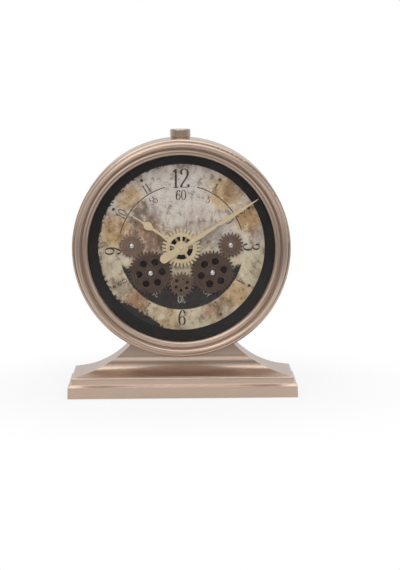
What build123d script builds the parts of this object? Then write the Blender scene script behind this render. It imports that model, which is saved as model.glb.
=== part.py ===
from build123d import *
import math
import os

# Table clock with a gear train turning behind glass. All sizes are in millimetres.
# Part frame: X to the right, Y to the back, Z up, origin in the middle of the footprint on the table.
# Clock frame, for everything in the drum: x to the right, y up, z towards the viewer,
# with its origin on the drum's axis, in the middle of the drum's depth.

# Fits
RUN_GAP = 0.06
SEAT_GAP = 0.1
HOLE_GAP = 0.15
PRESS_GAP = 0.02
STOP_GAP = 0.3

# Base: slab, moulded step and hollow plinth
BASE_W = 280.0
BASE_D = 110.0
BASE_SHEET = 2.0
FLOOR_GAP = 1.0
SLAB_SIDE_H = 13.5
SLAB_DRAFT = 0.4
SLAB_BEVEL_W = 4.2
SLAB_BEVEL_H = 3.0
STEP_H = 8.2
STEP_ROUND = 3.0
PLINTH_REVEAL = 0.4
PLINTH_EDGE = 0.6
PLINTH_SHEET = 2.4
PLINTH_SAG_X = 6.15
PLINTH_SAG_Y = 4.8
SADDLE_HALF_W = 62.6
SADDLE_HALF_D = 17.2
SADDLE_WALL = 2.0
BOTTOM_PLATE_T = 1.5
FOOT_R = 9.0
FOOT_H = 1.6
FOOT_INSET = 24.0
PILLAR_W = 11.0
TIE_BOLT_R = 2.5
TIE_BOLT_Y = 16.0
BOLT_HEAD_AF = 8.0
BOLT_HEAD_H = 3.5

# Drum
DRUM_R = 133.0
DRUM_DEPTH = 72.0
DRUM_CLEAR = 22.4
DRUM_WALL = 2.0
DRUM_ROLL = 3.5
REAR_FLANGE_W = 11.0
COVER_R_SETBACK = 4.0
COVER_T = 1.5
WINDOW_W = 68.0
WINDOW_H = 124.0
WINDOW_DROP = 29.0
WINDOW_CORNER = 10.0
CARRIER_T = 1.5
CARRIER_W = 15.0
CARRIER_LEG = 3.5

# Bezel, glass, surround and dial
BEZEL_SETBACK = 3.7
BEZEL_W = 15.3
BEZEL_EDGE_H = 1.5
BEZEL_SEAT_W = 4.0
OUTER_BEAD_H = 6.0
OUTER_BEAD_RUN = 3.4
GROOVE_FROM_OPENING = 7.8
GROOVE_W = 0.8
GROOVE_H = 0.6
INNER_BEAD_RUN = 4.0
INNER_BEAD_H = 2.7
BEZEL_LIP_T = 2.0
BEZEL_LIP_SETBACK = 3.0
GLASS_T = 3.0
GLASS_LAP = 4.4
GLASS_EDGE_GAP = 0.4
GASKET_T = 0.8
DIAL_SETBACK = 23.0
DIAL_T = 3.0
SIGHT_R = 102.0
SURROUND_RISE = 5.0
SURROUND_WALL = 1.2
SURROUND_SETBACK = 0.9
POST_BOSS_R = 3.0
BEZEL_POSTS = 4
FIRST_POST_BEARING = 45.0

# Knob on the top of the drum
KNOB_R = 12.4
KNOB_H = 10.1
KNOB_ROUND = 1.2
COLLAR_R = 11.8
COLLAR_H = 0.8
STUD_R = 2.5

# Fasteners
SCREW_R = 1.5
SCREW_HEAD_R = 2.8
SCREW_HEAD_H = 1.2
SCREW_HEAD_CHAMFER = 0.4
RECESS_L = 2.8
RECESS_W = 0.7
RECESS_DEPTH = 0.6
SCREW_GRIP = 7.0
THREAD_TAIL = 1.0
COVER_SCREWS = 6
NUT_AF = 7.0
NUT_T = 3.0

# Train on the dial: a driving pinion, two large wheels and two idlers
TRAIN_MODULE = 1.45
PINION_TEETH = 20
WHEEL_TEETH = 36
IDLER_TEETH = 20
PINION_DROP = 45.5
WHEEL_BEARING = 20.5
IDLER_BEARING = 56.4
TRAIN_BACKLASH = 0.3
GEAR_T = 2.0
GEAR_FACE_T = 1.0
GEAR_CHAMFER = 0.5
GEAR_RUN_GAP = 0.1
GEAR_POST_R = 2.0
POST_WASHER_T = 1.0
POST_WASHER_R = 5.0
CAP_R = 3.9
CAP_H = 3.9
CAP_GRIP = 2.4
WHEEL_FACE_R = 24.0
WHEEL_HUB_R = 6.2
IDLER_HUB_R = 5.2
GEAR_HUB_H = 0.6
WHEEL_HOLE_R = 4.6
WHEEL_HOLE_CIRCLE = 14.2
LEFT_HOLE_PHASE = 7.0
RIGHT_HOLE_PHASE = 15.0
SMALL_FACE_R = 12.4
PINION_HOLE_R = 2.1
PINION_HOLE_CIRCLE = 7.5
PINION_HOLE_PHASE = 23.0
WHEEL_HOLES = 6

# Hands and the open wheel that carries the hour hand
MINUTE_ANGLE = 57.9
HOUR_ANGLE = 304.0
HOUR_MODULE = 1.5
HOUR_WHEEL_TEETH = 30
HOUR_GEAR_T = 1.4
HOUR_GEAR_LIFT = 8.9
HOUR_RIM_R = 14.2
HOUR_DEDENDUM = 2.6
HOUR_HUB_R = 8.4
HOUR_SPOKES = 5
HOUR_SPOKE_W = 2.6
SPOKE_LAP = 1.0
HOUR_BACK_T = 1.2
HOUR_BACK_SPOKES = 6
HAND_T = 0.8
HAND_GAP = 0.9
MINUTE_HAND_L = 111.0
MINUTE_SHOULDER_AT = 52.2
MINUTE_SPADE_AT = 69.0
MINUTE_SPADE_W = 5.6
MINUTE_STEM_W = 3.0
MINUTE_BASE_AT = 24.0
MINUTE_BASE_W = 5.6
MINUTE_TAIL_L = 30.0
MINUTE_TAIL_W = 10.8
MINUTE_TAIL_ROOT_W = 7.6
MINUTE_HUB_R = 5.0
HOUR_HAND_L = 75.2
HOUR_SPADE_AT = 51.5
HOUR_SPADE_W = 9.2
HOUR_STEM_W = 2.8
HOUR_NECK_W = 1.6
HOUR_FOOT_W = 7.0
HOUR_EYE_R = 0.9
HOUR_EYE_AT = 21.5
HOUR_EYE_W = 5.0
HOUR_STEM_AT = 30.0
HAND_TIP_W = 0.8
RIVET_R = 0.7
RIVET_HEAD_R = 1.1
RIVET_HEAD_H = 0.35
HAND_NUT_R = 2.8
HAND_NUT_H = 2.0
COLLET_R = 3.0

# Movement behind the middle of the dial
ARBOR_R = 1.5
PIPE_R = 2.6
PIPE_SEAT_R = 2.3
BUSH_R = 4.0
BUSH_REACH = 4.2
BUSH_FLANGE_T = 0.5
BUSH_FLANGE_R = 6.0
BLACK_WASHER_R = 15.0
BLACK_WASHER_T = 0.8
BUSH_NUT_AF = 14.0
BUSH_NUT_T = 2.5
MODULE_WALL = 1.2
MODULE_W = 56.0
MOTION_MODULE = 0.5
MOTION_BACKLASH = 0.12
CANNON_TEETH = 15
MINUTE_WHEEL_TEETH = 45
MINUTE_PINION_TEETH = 12
HOUR_TEETH = 48
SET_TEETH = 18
SET_BEARING = -15.0
SET_SHAFT_R = 1.5
SET_PIVOT_R = 1.0
SET_KNOB_R = 6.0
SET_KNOB_T = 2.2
SET_KNOB_FLUTES = 18
FLUTE_R = 1.0
LAYER_T = 1.5
LAYER_GAP = 0.5
STUD_PIN_R = 1.2
BOSS_WALL = 1.4
COIL_MARGIN = 1.2
COIL_FLANGE = 0.9
COIL_L = 24.0

# Cells and their bays
CELL_R = 7.25
LEAF_ROOM = 1.55
CELL_NUB_R = 2.75
CELL_NUB_L = 1.2
CELL_GAP = 0.3
LEAF_T = 0.4
LEAF_REACH = 6.0
LEAF_W = 7.2

# Geared drive behind the driving pinion
DRIVE_SHAFT_R = 2.0
DRIVE_BUSH_R = 3.6
DRIVE_NUT_R = 5.6
DRIVE_NUT_T = 0.9
OUTPUT_TEETH = 40
REDUCTION_TEETH = 40
REDUCTION_PINION_TEETH = 12
MOTOR_PINION_TEETH = 12
REDUCTION_BEARING = 225.0
MOTOR_BEARING = -20.0
MOTOR_R = 9.0
MOTOR_SHAFT_R = 0.75
MOTOR_BOSS_R = 3.0
MOTOR_BOSS_H = 0.4
MOTOR_NEST = 3.0
MOTOR_CHAMFER = 0.6
WALL_MARGIN = 1.3

# Tooth form, in modules above and below the pitch circle
PRESSURE_ANGLE = math.radians(20)
ADDENDUM = 0.9
DEDENDUM = 1.25

# Heights in the part frame
SLAB_TOP = FLOOR_GAP + SLAB_SIDE_H + SLAB_BEVEL_H
STEP_TOP = SLAB_TOP + STEP_H
DRUM_Z = STEP_TOP + DRUM_CLEAR + DRUM_R
DRUM_TOP = DRUM_Z + DRUM_R
PLINTH_TOP = DRUM_Z - math.sqrt(DRUM_R**2 - SADDLE_HALF_W**2)
SLAB_TOP_INSET = SLAB_DRAFT + SLAB_BEVEL_W
PLINTH_INSET = SLAB_TOP_INSET + STEP_ROUND + PLINTH_REVEAL

# Radii round the drum's axis
SHELL_IN_R = DRUM_R - DRUM_WALL
REAR_OPENING_R = DRUM_R - REAR_FLANGE_W
COVER_R = DRUM_R - COVER_R_SETBACK
COVER_SCREW_R = (COVER_R + REAR_OPENING_R) / 2
BEZEL_R = DRUM_R - BEZEL_SETBACK
OPENING_R = BEZEL_R - BEZEL_W
SPIGOT_R = BEZEL_R - BEZEL_SEAT_W
SHELL_LIP_R = SPIGOT_R + HOLE_GAP
GLASS_R = OPENING_R + GLASS_LAP
REBATE_R = GLASS_R + GLASS_EDGE_GAP
SURROUND_R = OPENING_R + SURROUND_SETBACK
DIAL_R = SPIGOT_R - SEAT_GAP
BEZEL_POST_R = SPIGOT_R - POST_BOSS_R - HOLE_GAP
CARRIER_R = SHELL_IN_R - SEAT_GAP
CARRIER_IN_R = CARRIER_R - CARRIER_W

# Stations along the clock frame's z
Z_FRONT = DRUM_DEPTH / 2
Z_BACK = -DRUM_DEPTH / 2
Z_DIAL = Z_FRONT - DIAL_SETBACK
Z_DIAL_BACK = Z_DIAL - DIAL_T
Z_BEZEL_LIP = Z_FRONT - BEZEL_LIP_SETBACK
Z_GLASS_BACK = Z_BEZEL_LIP - GLASS_T
Z_GASKET_BACK = Z_GLASS_BACK - GASKET_T
Z_GEAR = Z_DIAL + POST_WASHER_T + GEAR_RUN_GAP
Z_GEAR_FRONT = Z_GEAR + GEAR_T + GEAR_FACE_T
Z_CAP = Z_GEAR_FRONT + GEAR_HUB_H + GEAR_RUN_GAP
Z_HOUR_GEAR = Z_DIAL + HOUR_GEAR_LIFT
Z_HOUR_BACK = Z_HOUR_GEAR - HOUR_BACK_T
Z_HOUR_HAND = Z_HOUR_GEAR + HOUR_GEAR_T
Z_MINUTE_HAND = Z_HOUR_HAND + HAND_T + HAND_GAP
Z_HAND_NUT = Z_MINUTE_HAND + HAND_T
Z_WALL_IN = Z_DIAL_BACK - MODULE_WALL
Z_LAYER_1 = Z_WALL_IN - BUSH_FLANGE_T - LAYER_T - GEAR_RUN_GAP
Z_LAYER_2 = Z_LAYER_1 - LAYER_GAP - LAYER_T
Z_CELL = Z_WALL_IN - CELL_GAP - CELL_R
Z_LID = Z_CELL - CELL_R
Z_MODULE_BACK = Z_LID - MODULE_WALL
Z_BOSS = Z_LAYER_2 - STOP_GAP

CLOCK = Plane(origin=(0, 0, DRUM_Z), x_dir=(1, 0, 0), z_dir=(0, -1, 0))


def polar(radius, degrees, origin=(0.0, 0.0)):
    """Point at a radius and bearing from an origin."""
    angle = math.radians(degrees)
    return (origin[0] + radius * math.cos(angle), origin[1] + radius * math.sin(angle))


# Places of the axes in the clock frame
TRAIN_CENTRES = TRAIN_MODULE * (PINION_TEETH + WHEEL_TEETH) / 2
IDLER_CENTRES = TRAIN_MODULE * (WHEEL_TEETH + IDLER_TEETH) / 2
PINION_AT = (0.0, -PINION_DROP)
RIGHT_WHEEL_AT = polar(TRAIN_CENTRES, WHEEL_BEARING, PINION_AT)
LEFT_WHEEL_AT = polar(TRAIN_CENTRES, 180 - WHEEL_BEARING, PINION_AT)
RIGHT_IDLER_AT = polar(IDLER_CENTRES, IDLER_BEARING, RIGHT_WHEEL_AT)
LEFT_IDLER_AT = polar(IDLER_CENTRES, 180 - IDLER_BEARING, LEFT_WHEEL_AT)
POSTS_AT = (LEFT_WHEEL_AT, RIGHT_WHEEL_AT, LEFT_IDLER_AT, RIGHT_IDLER_AT)
MINUTE_WHEEL_AT = (0.0, MOTION_MODULE * (CANNON_TEETH + MINUTE_WHEEL_TEETH) / 2)
SET_CENTRES = MOTION_MODULE * (MINUTE_WHEEL_TEETH + SET_TEETH) / 2
SET_AT = polar(SET_CENTRES, SET_BEARING, MINUTE_WHEEL_AT)
REDUCTION_CENTRES = MOTION_MODULE * (OUTPUT_TEETH + REDUCTION_PINION_TEETH) / 2
REDUCTION_AT = polar(REDUCTION_CENTRES, REDUCTION_BEARING, PINION_AT)
MOTOR_CENTRES = MOTION_MODULE * (REDUCTION_TEETH + MOTOR_PINION_TEETH) / 2
MOTOR_AT = polar(MOTOR_CENTRES, MOTOR_BEARING, REDUCTION_AT)

# Walls of the two modules in the clock frame, the cell between contacts and the coil beside the works
MODULE_HALF = MODULE_W / 2
CELL_SPAN = MODULE_W - 2 * MODULE_WALL - 2 * LEAF_ROOM
HOUR_TIP_R = MOTION_MODULE * (HOUR_TEETH / 2 + ADDENDUM)
COIL_ROOM = min(MODULE_HALF - MODULE_WALL - HOUR_TIP_R, Z_WALL_IN - Z_LID)
COIL_R = COIL_ROOM / 2 - COIL_MARGIN
WINDING_R = COIL_R - COIL_FLANGE
MOVEMENT_TOP = MINUTE_WHEEL_AT[1] + MOTION_MODULE * (MINUTE_WHEEL_TEETH / 2 + 1) + WALL_MARGIN + MODULE_WALL
MOVEMENT_BAY = -MOTION_MODULE * (HOUR_TEETH / 2 + 1) - WALL_MARGIN
DRIVE_TOP = PINION_AT[1] + MOTION_MODULE * (OUTPUT_TEETH / 2 + 1) + WALL_MARGIN + MODULE_WALL
DRIVE_BAY = MOTOR_AT[1] - MOTOR_R - WALL_MARGIN - MODULE_WALL


# Small shared shapes
def disc(radius, z0, z1, at=(0.0, 0.0)):
    """Round bar along z between two stations."""
    return Pos(at[0], at[1], z0) * extrude(Circle(radius), z1 - z0)


def ring(outer, inner, z0, z1, at=(0.0, 0.0)):
    """Flat ring along z between two stations."""
    return Pos(at[0], at[1], z0) * extrude(Circle(outer) - Circle(inner), z1 - z0)


def slab(x0, x1, y0, y1, z0, z1):
    """Block between two corners."""
    return Pos((x0 + x1) / 2, (y0 + y1) / 2, (z0 + z1) / 2) * Box(x1 - x0, y1 - y0, z1 - z0)


def hexagon(across_flats, z0, z1, at=(0.0, 0.0)):
    """Hexagon bar along z between two stations."""
    outline = RegularPolygon(across_flats / 2, 6, major_radius=False)
    return Pos(at[0], at[1], z0) * extrude(outline, z1 - z0)


def turned(outline):
    """Solid of revolution about z from a closed outline of radius and height."""
    return revolve(Plane.XZ * make_face(outline), Axis.Z)


def bulge(start, end, centre):
    """Arc from start to end through the 45 degree point of the quarter round about a centre."""
    share = math.sqrt(0.5)
    middle = tuple(c + share * (a - c) + share * (b - c) for a, b, c in zip(start, end, centre))
    return ThreePointArc(start, middle, end)


def domed(radius, height):
    """Round cap with a straight skirt a third of its height, under a spherical dome."""
    rise = height * 2 / 3
    ball_r = (radius**2 + rise**2) / (2 * rise)
    return disc(radius, 0, height) & (Pos(0, 0, height - ball_r) * Sphere(ball_r))


def pan_screw(length):
    """Screw with its seat at z = 0, its head below and its shank above, with a cross recess."""
    head = disc(SCREW_HEAD_R, -SCREW_HEAD_H, 0)
    head = chamfer(head.edges().group_by(Axis.Z)[0], SCREW_HEAD_CHAMFER)
    floor = RECESS_DEPTH - SCREW_HEAD_H
    for width, height in ((RECESS_L, RECESS_W), (RECESS_W, RECESS_L)):
        head -= slab(-width / 2, width / 2, -height / 2, height / 2, -SCREW_HEAD_H, floor)
    return head + disc(SCREW_R, 0, length)


def group(shapes):
    """One node of several separate solids."""
    return Compound(children=list(shapes))


# Toothed wheels
def wheel_outline(teeth, module, phase, backlash, steps, dedendum=DEDENDUM):
    """Closed spur outline whose flanks are chords of a true involute; phase is a tooth's bearing."""
    pitch_r = module * teeth / 2
    base_r = pitch_r * math.cos(PRESSURE_ANGLE)
    root_r = pitch_r - dedendum * module
    tip_r = pitch_r + ADDENDUM * module

    def half_angle(radius):
        at = math.acos(min(1.0, base_r / max(radius, base_r)))
        inward = math.tan(PRESSURE_ANGLE) - PRESSURE_ANGLE - (math.tan(at) - at)
        return (math.pi * module / 2 - backlash) / (2 * pitch_r) + inward

    radii = [root_r + (tip_r - root_r) * k / steps for k in range(steps + 1)]
    rising = [(r, -half_angle(r)) for r in radii]
    tooth = rising + [(r, -a) for r, a in reversed(rising)]
    points = []
    for k in range(teeth):
        centre = math.radians(phase) + 2 * math.pi * k / teeth
        points += [(r * math.cos(centre + a), r * math.sin(centre + a)) for r, a in tooth]
    return make_face(Polyline(*points, close=True))


def spur(teeth, module, phase, z0, thickness, at=(0.0, 0.0)):
    """Hidden spur wheel with straight flanks."""
    face = wheel_outline(teeth, module, phase, MOTION_BACKLASH, 2)
    return Pos(at[0], at[1], z0) * extrude(face, thickness)


def meshed_phase(phase, teeth, next_teeth, bearing):
    """Phase of a wheel that meets a wheel of a given phase, at a bearing from that wheel."""
    return bearing + 180 + 180 / next_teeth - (phase - bearing) * teeth / next_teeth


# Base
def symmetric_face(half_outline):
    """Face from the right half of its outline."""
    half = make_face(half_outline)
    return half + mirror(half, about=Plane.YZ)


def mitred(width_outline, depth_outline):
    """Block with one side profile across X and one across Y, meeting in mitred hips."""
    across = extrude(Plane.XZ * symmetric_face(width_outline), BASE_D, both=True)
    along = extrude(Plane.YZ * symmetric_face(depth_outline), BASE_W, both=True)
    return across & along


def slab_side(half):
    """Half outline of the slab: drafted side and bevelled top edge."""
    side_top = FLOOR_GAP + SLAB_SIDE_H
    top = half - SLAB_TOP_INSET
    side = ((half, FLOOR_GAP), (half - SLAB_DRAFT, side_top), (top, SLAB_TOP))
    return Polyline((0, FLOOR_GAP), *side, (0, SLAB_TOP), close=True)


def step_side(half):
    """Half outline of the step: upright side and rounded top edge."""
    side = half - SLAB_TOP_INSET
    top = side - STEP_ROUND
    shoulder = STEP_TOP - STEP_ROUND
    edge = bulge((side, shoulder), (top, STEP_TOP), (top, shoulder))
    lower = Polyline((0, STEP_TOP), (0, SLAB_TOP), (side, SLAB_TOP), (side, shoulder))
    return lower + edge + Line((top, STEP_TOP), (0, STEP_TOP))


def plinth_side(half, head, sag):
    """Half outline of the plinth: a low edge and one long concave sweep up to the drum."""
    foot = (half - PLINTH_INSET, STEP_TOP + PLINTH_EDGE)
    top = (head, PLINTH_TOP)
    run = math.dist(foot, top)
    middle = ((foot[0] + top[0]) / 2, (foot[1] + top[1]) / 2)
    inward = ((foot[1] - top[1]) / run, (top[0] - foot[0]) / run)
    sweep = ThreePointArc(foot, (middle[0] + sag * inward[0], middle[1] + sag * inward[1]), top)
    lower = Polyline((0, PLINTH_TOP), (0, STEP_TOP), (foot[0], STEP_TOP), foot)
    return lower + sweep + Line(top, (0, PLINTH_TOP))


def drum_cylinder(radius):
    """Full-length bar on the drum's axis, in the part frame."""
    return Pos(0, 0, DRUM_Z) * Rot(90, 0, 0) * Cylinder(radius, BASE_D * 2)


def corners(inset):
    """The four places at an inset from the slab's corners."""
    x = BASE_W / 2 - inset
    y = BASE_D / 2 - inset
    return [(sx * x, sy * y) for sx in (-1, 1) for sy in (-1, 1)]


def tie_holes(z0, z1):
    """Clearance holes for the two tie bolts."""
    return [disc(TIE_BOLT_R + HOLE_GAP, z0, z1, (0, sy * TIE_BOLT_Y)) for sy in (-1, 1)]


PILLAR_INSET = SLAB_TOP_INSET + BASE_SHEET + PILLAR_W / 2
PLATE_TOP = FOOT_H + BOTTOM_PLATE_T


def base_slab():
    """Inverted tray with four corner pillars for the bottom plate's screws."""
    body = mitred(slab_side(BASE_W / 2), slab_side(BASE_D / 2))
    wall = SLAB_TOP_INSET + BASE_SHEET
    half_w, half_d = BASE_W / 2 - wall, BASE_D / 2 - wall
    body -= slab(-half_w, half_w, -half_d, half_d, 0, SLAB_TOP - BASE_SHEET)
    for x, y in corners(PILLAR_INSET):
        reach = PILLAR_W / 2 + BASE_SHEET / 2
        body += slab(x - reach, x + reach, y - reach, y + reach, PLATE_TOP, SLAB_TOP - BASE_SHEET / 2)
        body -= disc(SCREW_R + PRESS_GAP, 0, PLATE_TOP + SCREW_GRIP + SEAT_GAP, (x, y))
    for hole in tie_holes(0, SLAB_TOP):
        body -= hole
    return body


def base_step():
    """Round-edged moulding between slab and plinth, open underneath."""
    body = mitred(step_side(BASE_W / 2), step_side(BASE_D / 2))
    wall = SLAB_TOP_INSET + STEP_ROUND + BASE_SHEET
    half_w, half_d = BASE_W / 2 - wall, BASE_D / 2 - wall
    body -= slab(-half_w, half_w, -half_d, half_d, 0, STEP_TOP - BASE_SHEET)
    for hole in tie_holes(SLAB_TOP, STEP_TOP):
        body -= hole
    return body


def plinth_saddle():
    """Hollow plinth swept up on all four sides to a saddle that the drum lies in."""
    width_side = plinth_side(BASE_W / 2, SADDLE_HALF_W, PLINTH_SAG_X)
    depth_side = plinth_side(BASE_D / 2, SADDLE_HALF_D, PLINTH_SAG_Y)
    block = mitred(width_side, depth_side)
    seat_r = DRUM_R + SEAT_GAP
    hollow = Pos(0, 0, -PLINTH_SHEET) * block
    hollow -= drum_cylinder(seat_r + SADDLE_WALL)
    body = block - hollow - drum_cylinder(seat_r)
    for hole in tie_holes(STEP_TOP, DRUM_Z):
        body -= hole
    return body


def bottom_plate():
    """Sheet that closes the slab from below."""
    wall = SLAB_TOP_INSET + BASE_SHEET + HOLE_GAP
    half_w, half_d = BASE_W / 2 - wall, BASE_D / 2 - wall
    plate = slab(-half_w, half_w, -half_d, half_d, FOOT_H, PLATE_TOP)
    for at in corners(PILLAR_INSET):
        plate -= disc(SCREW_R + HOLE_GAP, 0, PLATE_TOP, at)
    return plate


def rubber_feet():
    """Four round pads under the bottom plate."""
    return group(disc(FOOT_R, 0, FOOT_H, at) for at in corners(FOOT_INSET))


def bottom_plate_screws():
    """Four screws up into the slab's pillars."""
    length = BOTTOM_PLATE_T + SCREW_GRIP
    return group(Pos(x, y, FOOT_H) * pan_screw(length) for x, y in corners(PILLAR_INSET))


def tie_bolts():
    """Two bolts that hold slab, step, plinth and drum together."""
    seat = SLAB_TOP - BASE_SHEET
    tip = STEP_TOP + DRUM_CLEAR + DRUM_WALL + BOLT_HEAD_H + THREAD_TAIL
    bolts = []
    for side in (-1, 1):
        at = (0, side * TIE_BOLT_Y)
        bolts.append(hexagon(BOLT_HEAD_AF, seat - BOLT_HEAD_H, seat, at) + disc(TIE_BOLT_R, seat, tip, at))
    return group(bolts)


def tie_nuts():
    """Nuts on the tie bolts, inside the drum."""
    seat = DRUM_Z - math.sqrt(SHELL_IN_R**2 - BOLT_HEAD_AF**2) + SEAT_GAP
    nuts = []
    for side in (-1, 1):
        at = (0, side * TIE_BOLT_Y)
        nut = hexagon(BOLT_HEAD_AF, seat, seat + BOLT_HEAD_H, at)
        nuts.append(nut - disc(TIE_BOLT_R + PRESS_GAP, 0, DRUM_Z, at))
    return group(nuts)


# Knob on top
def top_knob():
    """Turned knob with a rounded rim, screwed onto its stud."""
    base = DRUM_TOP + COLLAR_H
    top = base + KNOB_H
    rim = KNOB_R - KNOB_ROUND
    shoulder = top - KNOB_ROUND
    rim_arc = bulge((KNOB_R, shoulder), (rim, top), (rim, shoulder))
    side = Polyline((0, top), (0, base), (rim, base), (KNOB_R, base + KNOB_ROUND), (KNOB_R, shoulder))
    body = turned(side + rim_arc + Line((rim, top), (0, top)))
    return body - disc(STUD_R + PRESS_GAP, base, base + KNOB_H / 2)


def knob_collar():
    """Collar under the knob, cut underneath to the drum's curve."""
    body = disc(COLLAR_R, DRUM_TOP - COLLAR_H, DRUM_TOP + COLLAR_H) - drum_cylinder(DRUM_R + SEAT_GAP)
    return body - disc(STUD_R + HOLE_GAP, DRUM_Z, DRUM_TOP + COLLAR_H)


def knob_stud():
    """Threaded stud from the knob into the drum."""
    low = DRUM_TOP - DRUM_WALL - BOLT_HEAD_H - 2 * THREAD_TAIL
    return disc(STUD_R, low, DRUM_TOP + COLLAR_H + KNOB_H / 2 - SEAT_GAP)


def knob_nut():
    """Nut on the stud, inside the drum."""
    seat = DRUM_Z + math.sqrt(SHELL_IN_R**2 - BOLT_HEAD_AF**2) - SEAT_GAP
    return hexagon(BOLT_HEAD_AF, seat - BOLT_HEAD_H, seat) - disc(STUD_R + PRESS_GAP, DRUM_Z, DRUM_TOP)


# Drum
def drum_shell():
    """Spun shell with a rolled front edge and an inward flange at the back."""
    roll_r = DRUM_R - DRUM_ROLL
    roll_z = Z_FRONT - DRUM_ROLL
    inner_front = Z_FRONT - DRUM_WALL
    flange = Z_BACK + DRUM_WALL
    outer_roll = bulge((DRUM_R, roll_z), (roll_r, Z_FRONT), (roll_r, roll_z))
    inner_roll = bulge((roll_r, inner_front), (SHELL_IN_R, roll_z), (roll_r, roll_z))
    lip = ((SHELL_LIP_R, Z_FRONT), (SHELL_LIP_R, inner_front))
    front = Polyline((roll_r, Z_FRONT), *lip, (roll_r, inner_front))
    inside = Polyline((SHELL_IN_R, roll_z), (SHELL_IN_R, flange), (REAR_OPENING_R, flange))
    back = Polyline((REAR_OPENING_R, flange), (REAR_OPENING_R, Z_BACK), (DRUM_R, Z_BACK), (DRUM_R, roll_z))
    shell = turned(outer_roll + front + inner_roll + inside + back)
    for at in cover_screw_places():
        shell -= disc(SCREW_R + PRESS_GAP, Z_BACK, flange, at)
    for side in (-1, 1):
        hole = Pos(0, -DRUM_R, side * TIE_BOLT_Y) * Rot(90, 0, 0) * Cylinder(TIE_BOLT_R + HOLE_GAP, DRUM_R)
        shell -= hole
    shell -= Pos(0, DRUM_R, 0) * Rot(90, 0, 0) * Cylinder(STUD_R + HOLE_GAP, DRUM_R)
    return shell


def cover_screw_places():
    """Places of the back cover's screws."""
    return [polar(COVER_SCREW_R, 90 + 360 * (k + 0.5) / COVER_SCREWS) for k in range(COVER_SCREWS)]


def back_cover():
    """Rear disc with a window onto the cells and the setting knob."""
    outline = Circle(COVER_R) - Pos(0, -WINDOW_DROP) * RectangleRounded(WINDOW_W, WINDOW_H, WINDOW_CORNER)
    cover = Pos(0, 0, Z_BACK - COVER_T) * extrude(outline, COVER_T)
    for at in cover_screw_places():
        cover -= disc(SCREW_R + HOLE_GAP, Z_BACK - COVER_T, Z_BACK, at)
    return cover


def back_cover_screws():
    """Screws through the back cover into the shell's flange."""
    length = COVER_T + DRUM_WALL + THREAD_TAIL
    return group(Pos(x, y, Z_BACK - COVER_T) * pan_screw(length) for x, y in cover_screw_places())


def dial_screw_places():
    """Places of the screws that draw the bezel onto the drum."""
    pitch = 360 / BEZEL_POSTS
    return [polar(BEZEL_POST_R, FIRST_POST_BEARING + pitch * k) for k in range(BEZEL_POSTS)]


def carrier_ring():
    """Ring of L section in the shell that carries the dial and takes the bezel's screws."""
    front = Z_DIAL_BACK
    back = front - CARRIER_T
    body = ring(CARRIER_R, CARRIER_IN_R, back, front)
    body += ring(CARRIER_R, CARRIER_R - CARRIER_T, back - CARRIER_LEG, back)
    for at in dial_screw_places():
        body -= disc(SCREW_R + HOLE_GAP, back, front, at)
    return body


def dial_screws():
    """Four screws from behind, through carrier and dial, into the bezel's posts."""
    seat = Z_DIAL_BACK - CARRIER_T
    length = CARRIER_T + DIAL_T + SCREW_GRIP
    return group(Pos(x, y, seat) * pan_screw(length) for x, y in dial_screw_places())


def bezel():
    """Turned bezel with two beads, a spigot round the glass and four posts behind."""
    lip = Z_BEZEL_LIP + BEZEL_LIP_T
    groove = Z_FRONT + GROOVE_H
    crest = Z_FRONT + OUTER_BEAD_H
    crest_r = BEZEL_R - OUTER_BEAD_RUN
    groove_r = OPENING_R + GROOVE_FROM_OPENING
    bead_r = groove_r + GROOVE_W
    edge = Z_FRONT + BEZEL_EDGE_H
    inner_crest = (OPENING_R + INNER_BEAD_RUN, Z_FRONT + INNER_BEAD_H)
    section = ThreePointArc((OPENING_R, lip), inner_crest, (groove_r, groove))
    section += Line((groove_r, groove), (bead_r, groove))
    section += bulge((bead_r, groove), (crest_r, crest), (crest_r, groove))
    section += bulge((crest_r, crest), (BEZEL_R, edge), (crest_r, edge))
    section += Polyline((BEZEL_R, edge), (BEZEL_R, Z_FRONT), (SPIGOT_R, Z_FRONT), (SPIGOT_R, Z_GLASS_BACK))
    section += Polyline((SPIGOT_R, Z_GLASS_BACK), (REBATE_R, Z_GLASS_BACK), (REBATE_R, Z_BEZEL_LIP))
    section += Polyline((REBATE_R, Z_BEZEL_LIP), (OPENING_R, Z_BEZEL_LIP), (OPENING_R, lip))
    body = turned(section)
    for at in dial_screw_places():
        body += disc(POST_BOSS_R, Z_DIAL + SEAT_GAP, Z_FRONT, at)
        body -= disc(SCREW_R + PRESS_GAP, Z_DIAL, Z_DIAL + SCREW_GRIP + SEAT_GAP, at)
    return body


def glass():
    """Flat glass behind the bezel's lip."""
    return disc(GLASS_R, Z_GLASS_BACK, Z_BEZEL_LIP)


def glass_gasket():
    """Soft ring between the glass and the surround."""
    return ring(GLASS_R, SURROUND_R, Z_GASKET_BACK, Z_GLASS_BACK)


def dial_surround():
    """Dished black ring that stands on the dial and bears on the gasket."""
    base = Z_DIAL
    rim = Z_GASKET_BACK
    wall_r = SURROUND_R + SURROUND_WALL
    points = (
        (SIGHT_R, base),
        (wall_r, base),
        (wall_r, rim - SURROUND_WALL),
        (GLASS_R, rim - SURROUND_WALL),
        (GLASS_R, rim),
        (SURROUND_R, rim),
        (SURROUND_R, base + SURROUND_RISE),
    )
    return turned(Polyline(*points, close=True))


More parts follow.
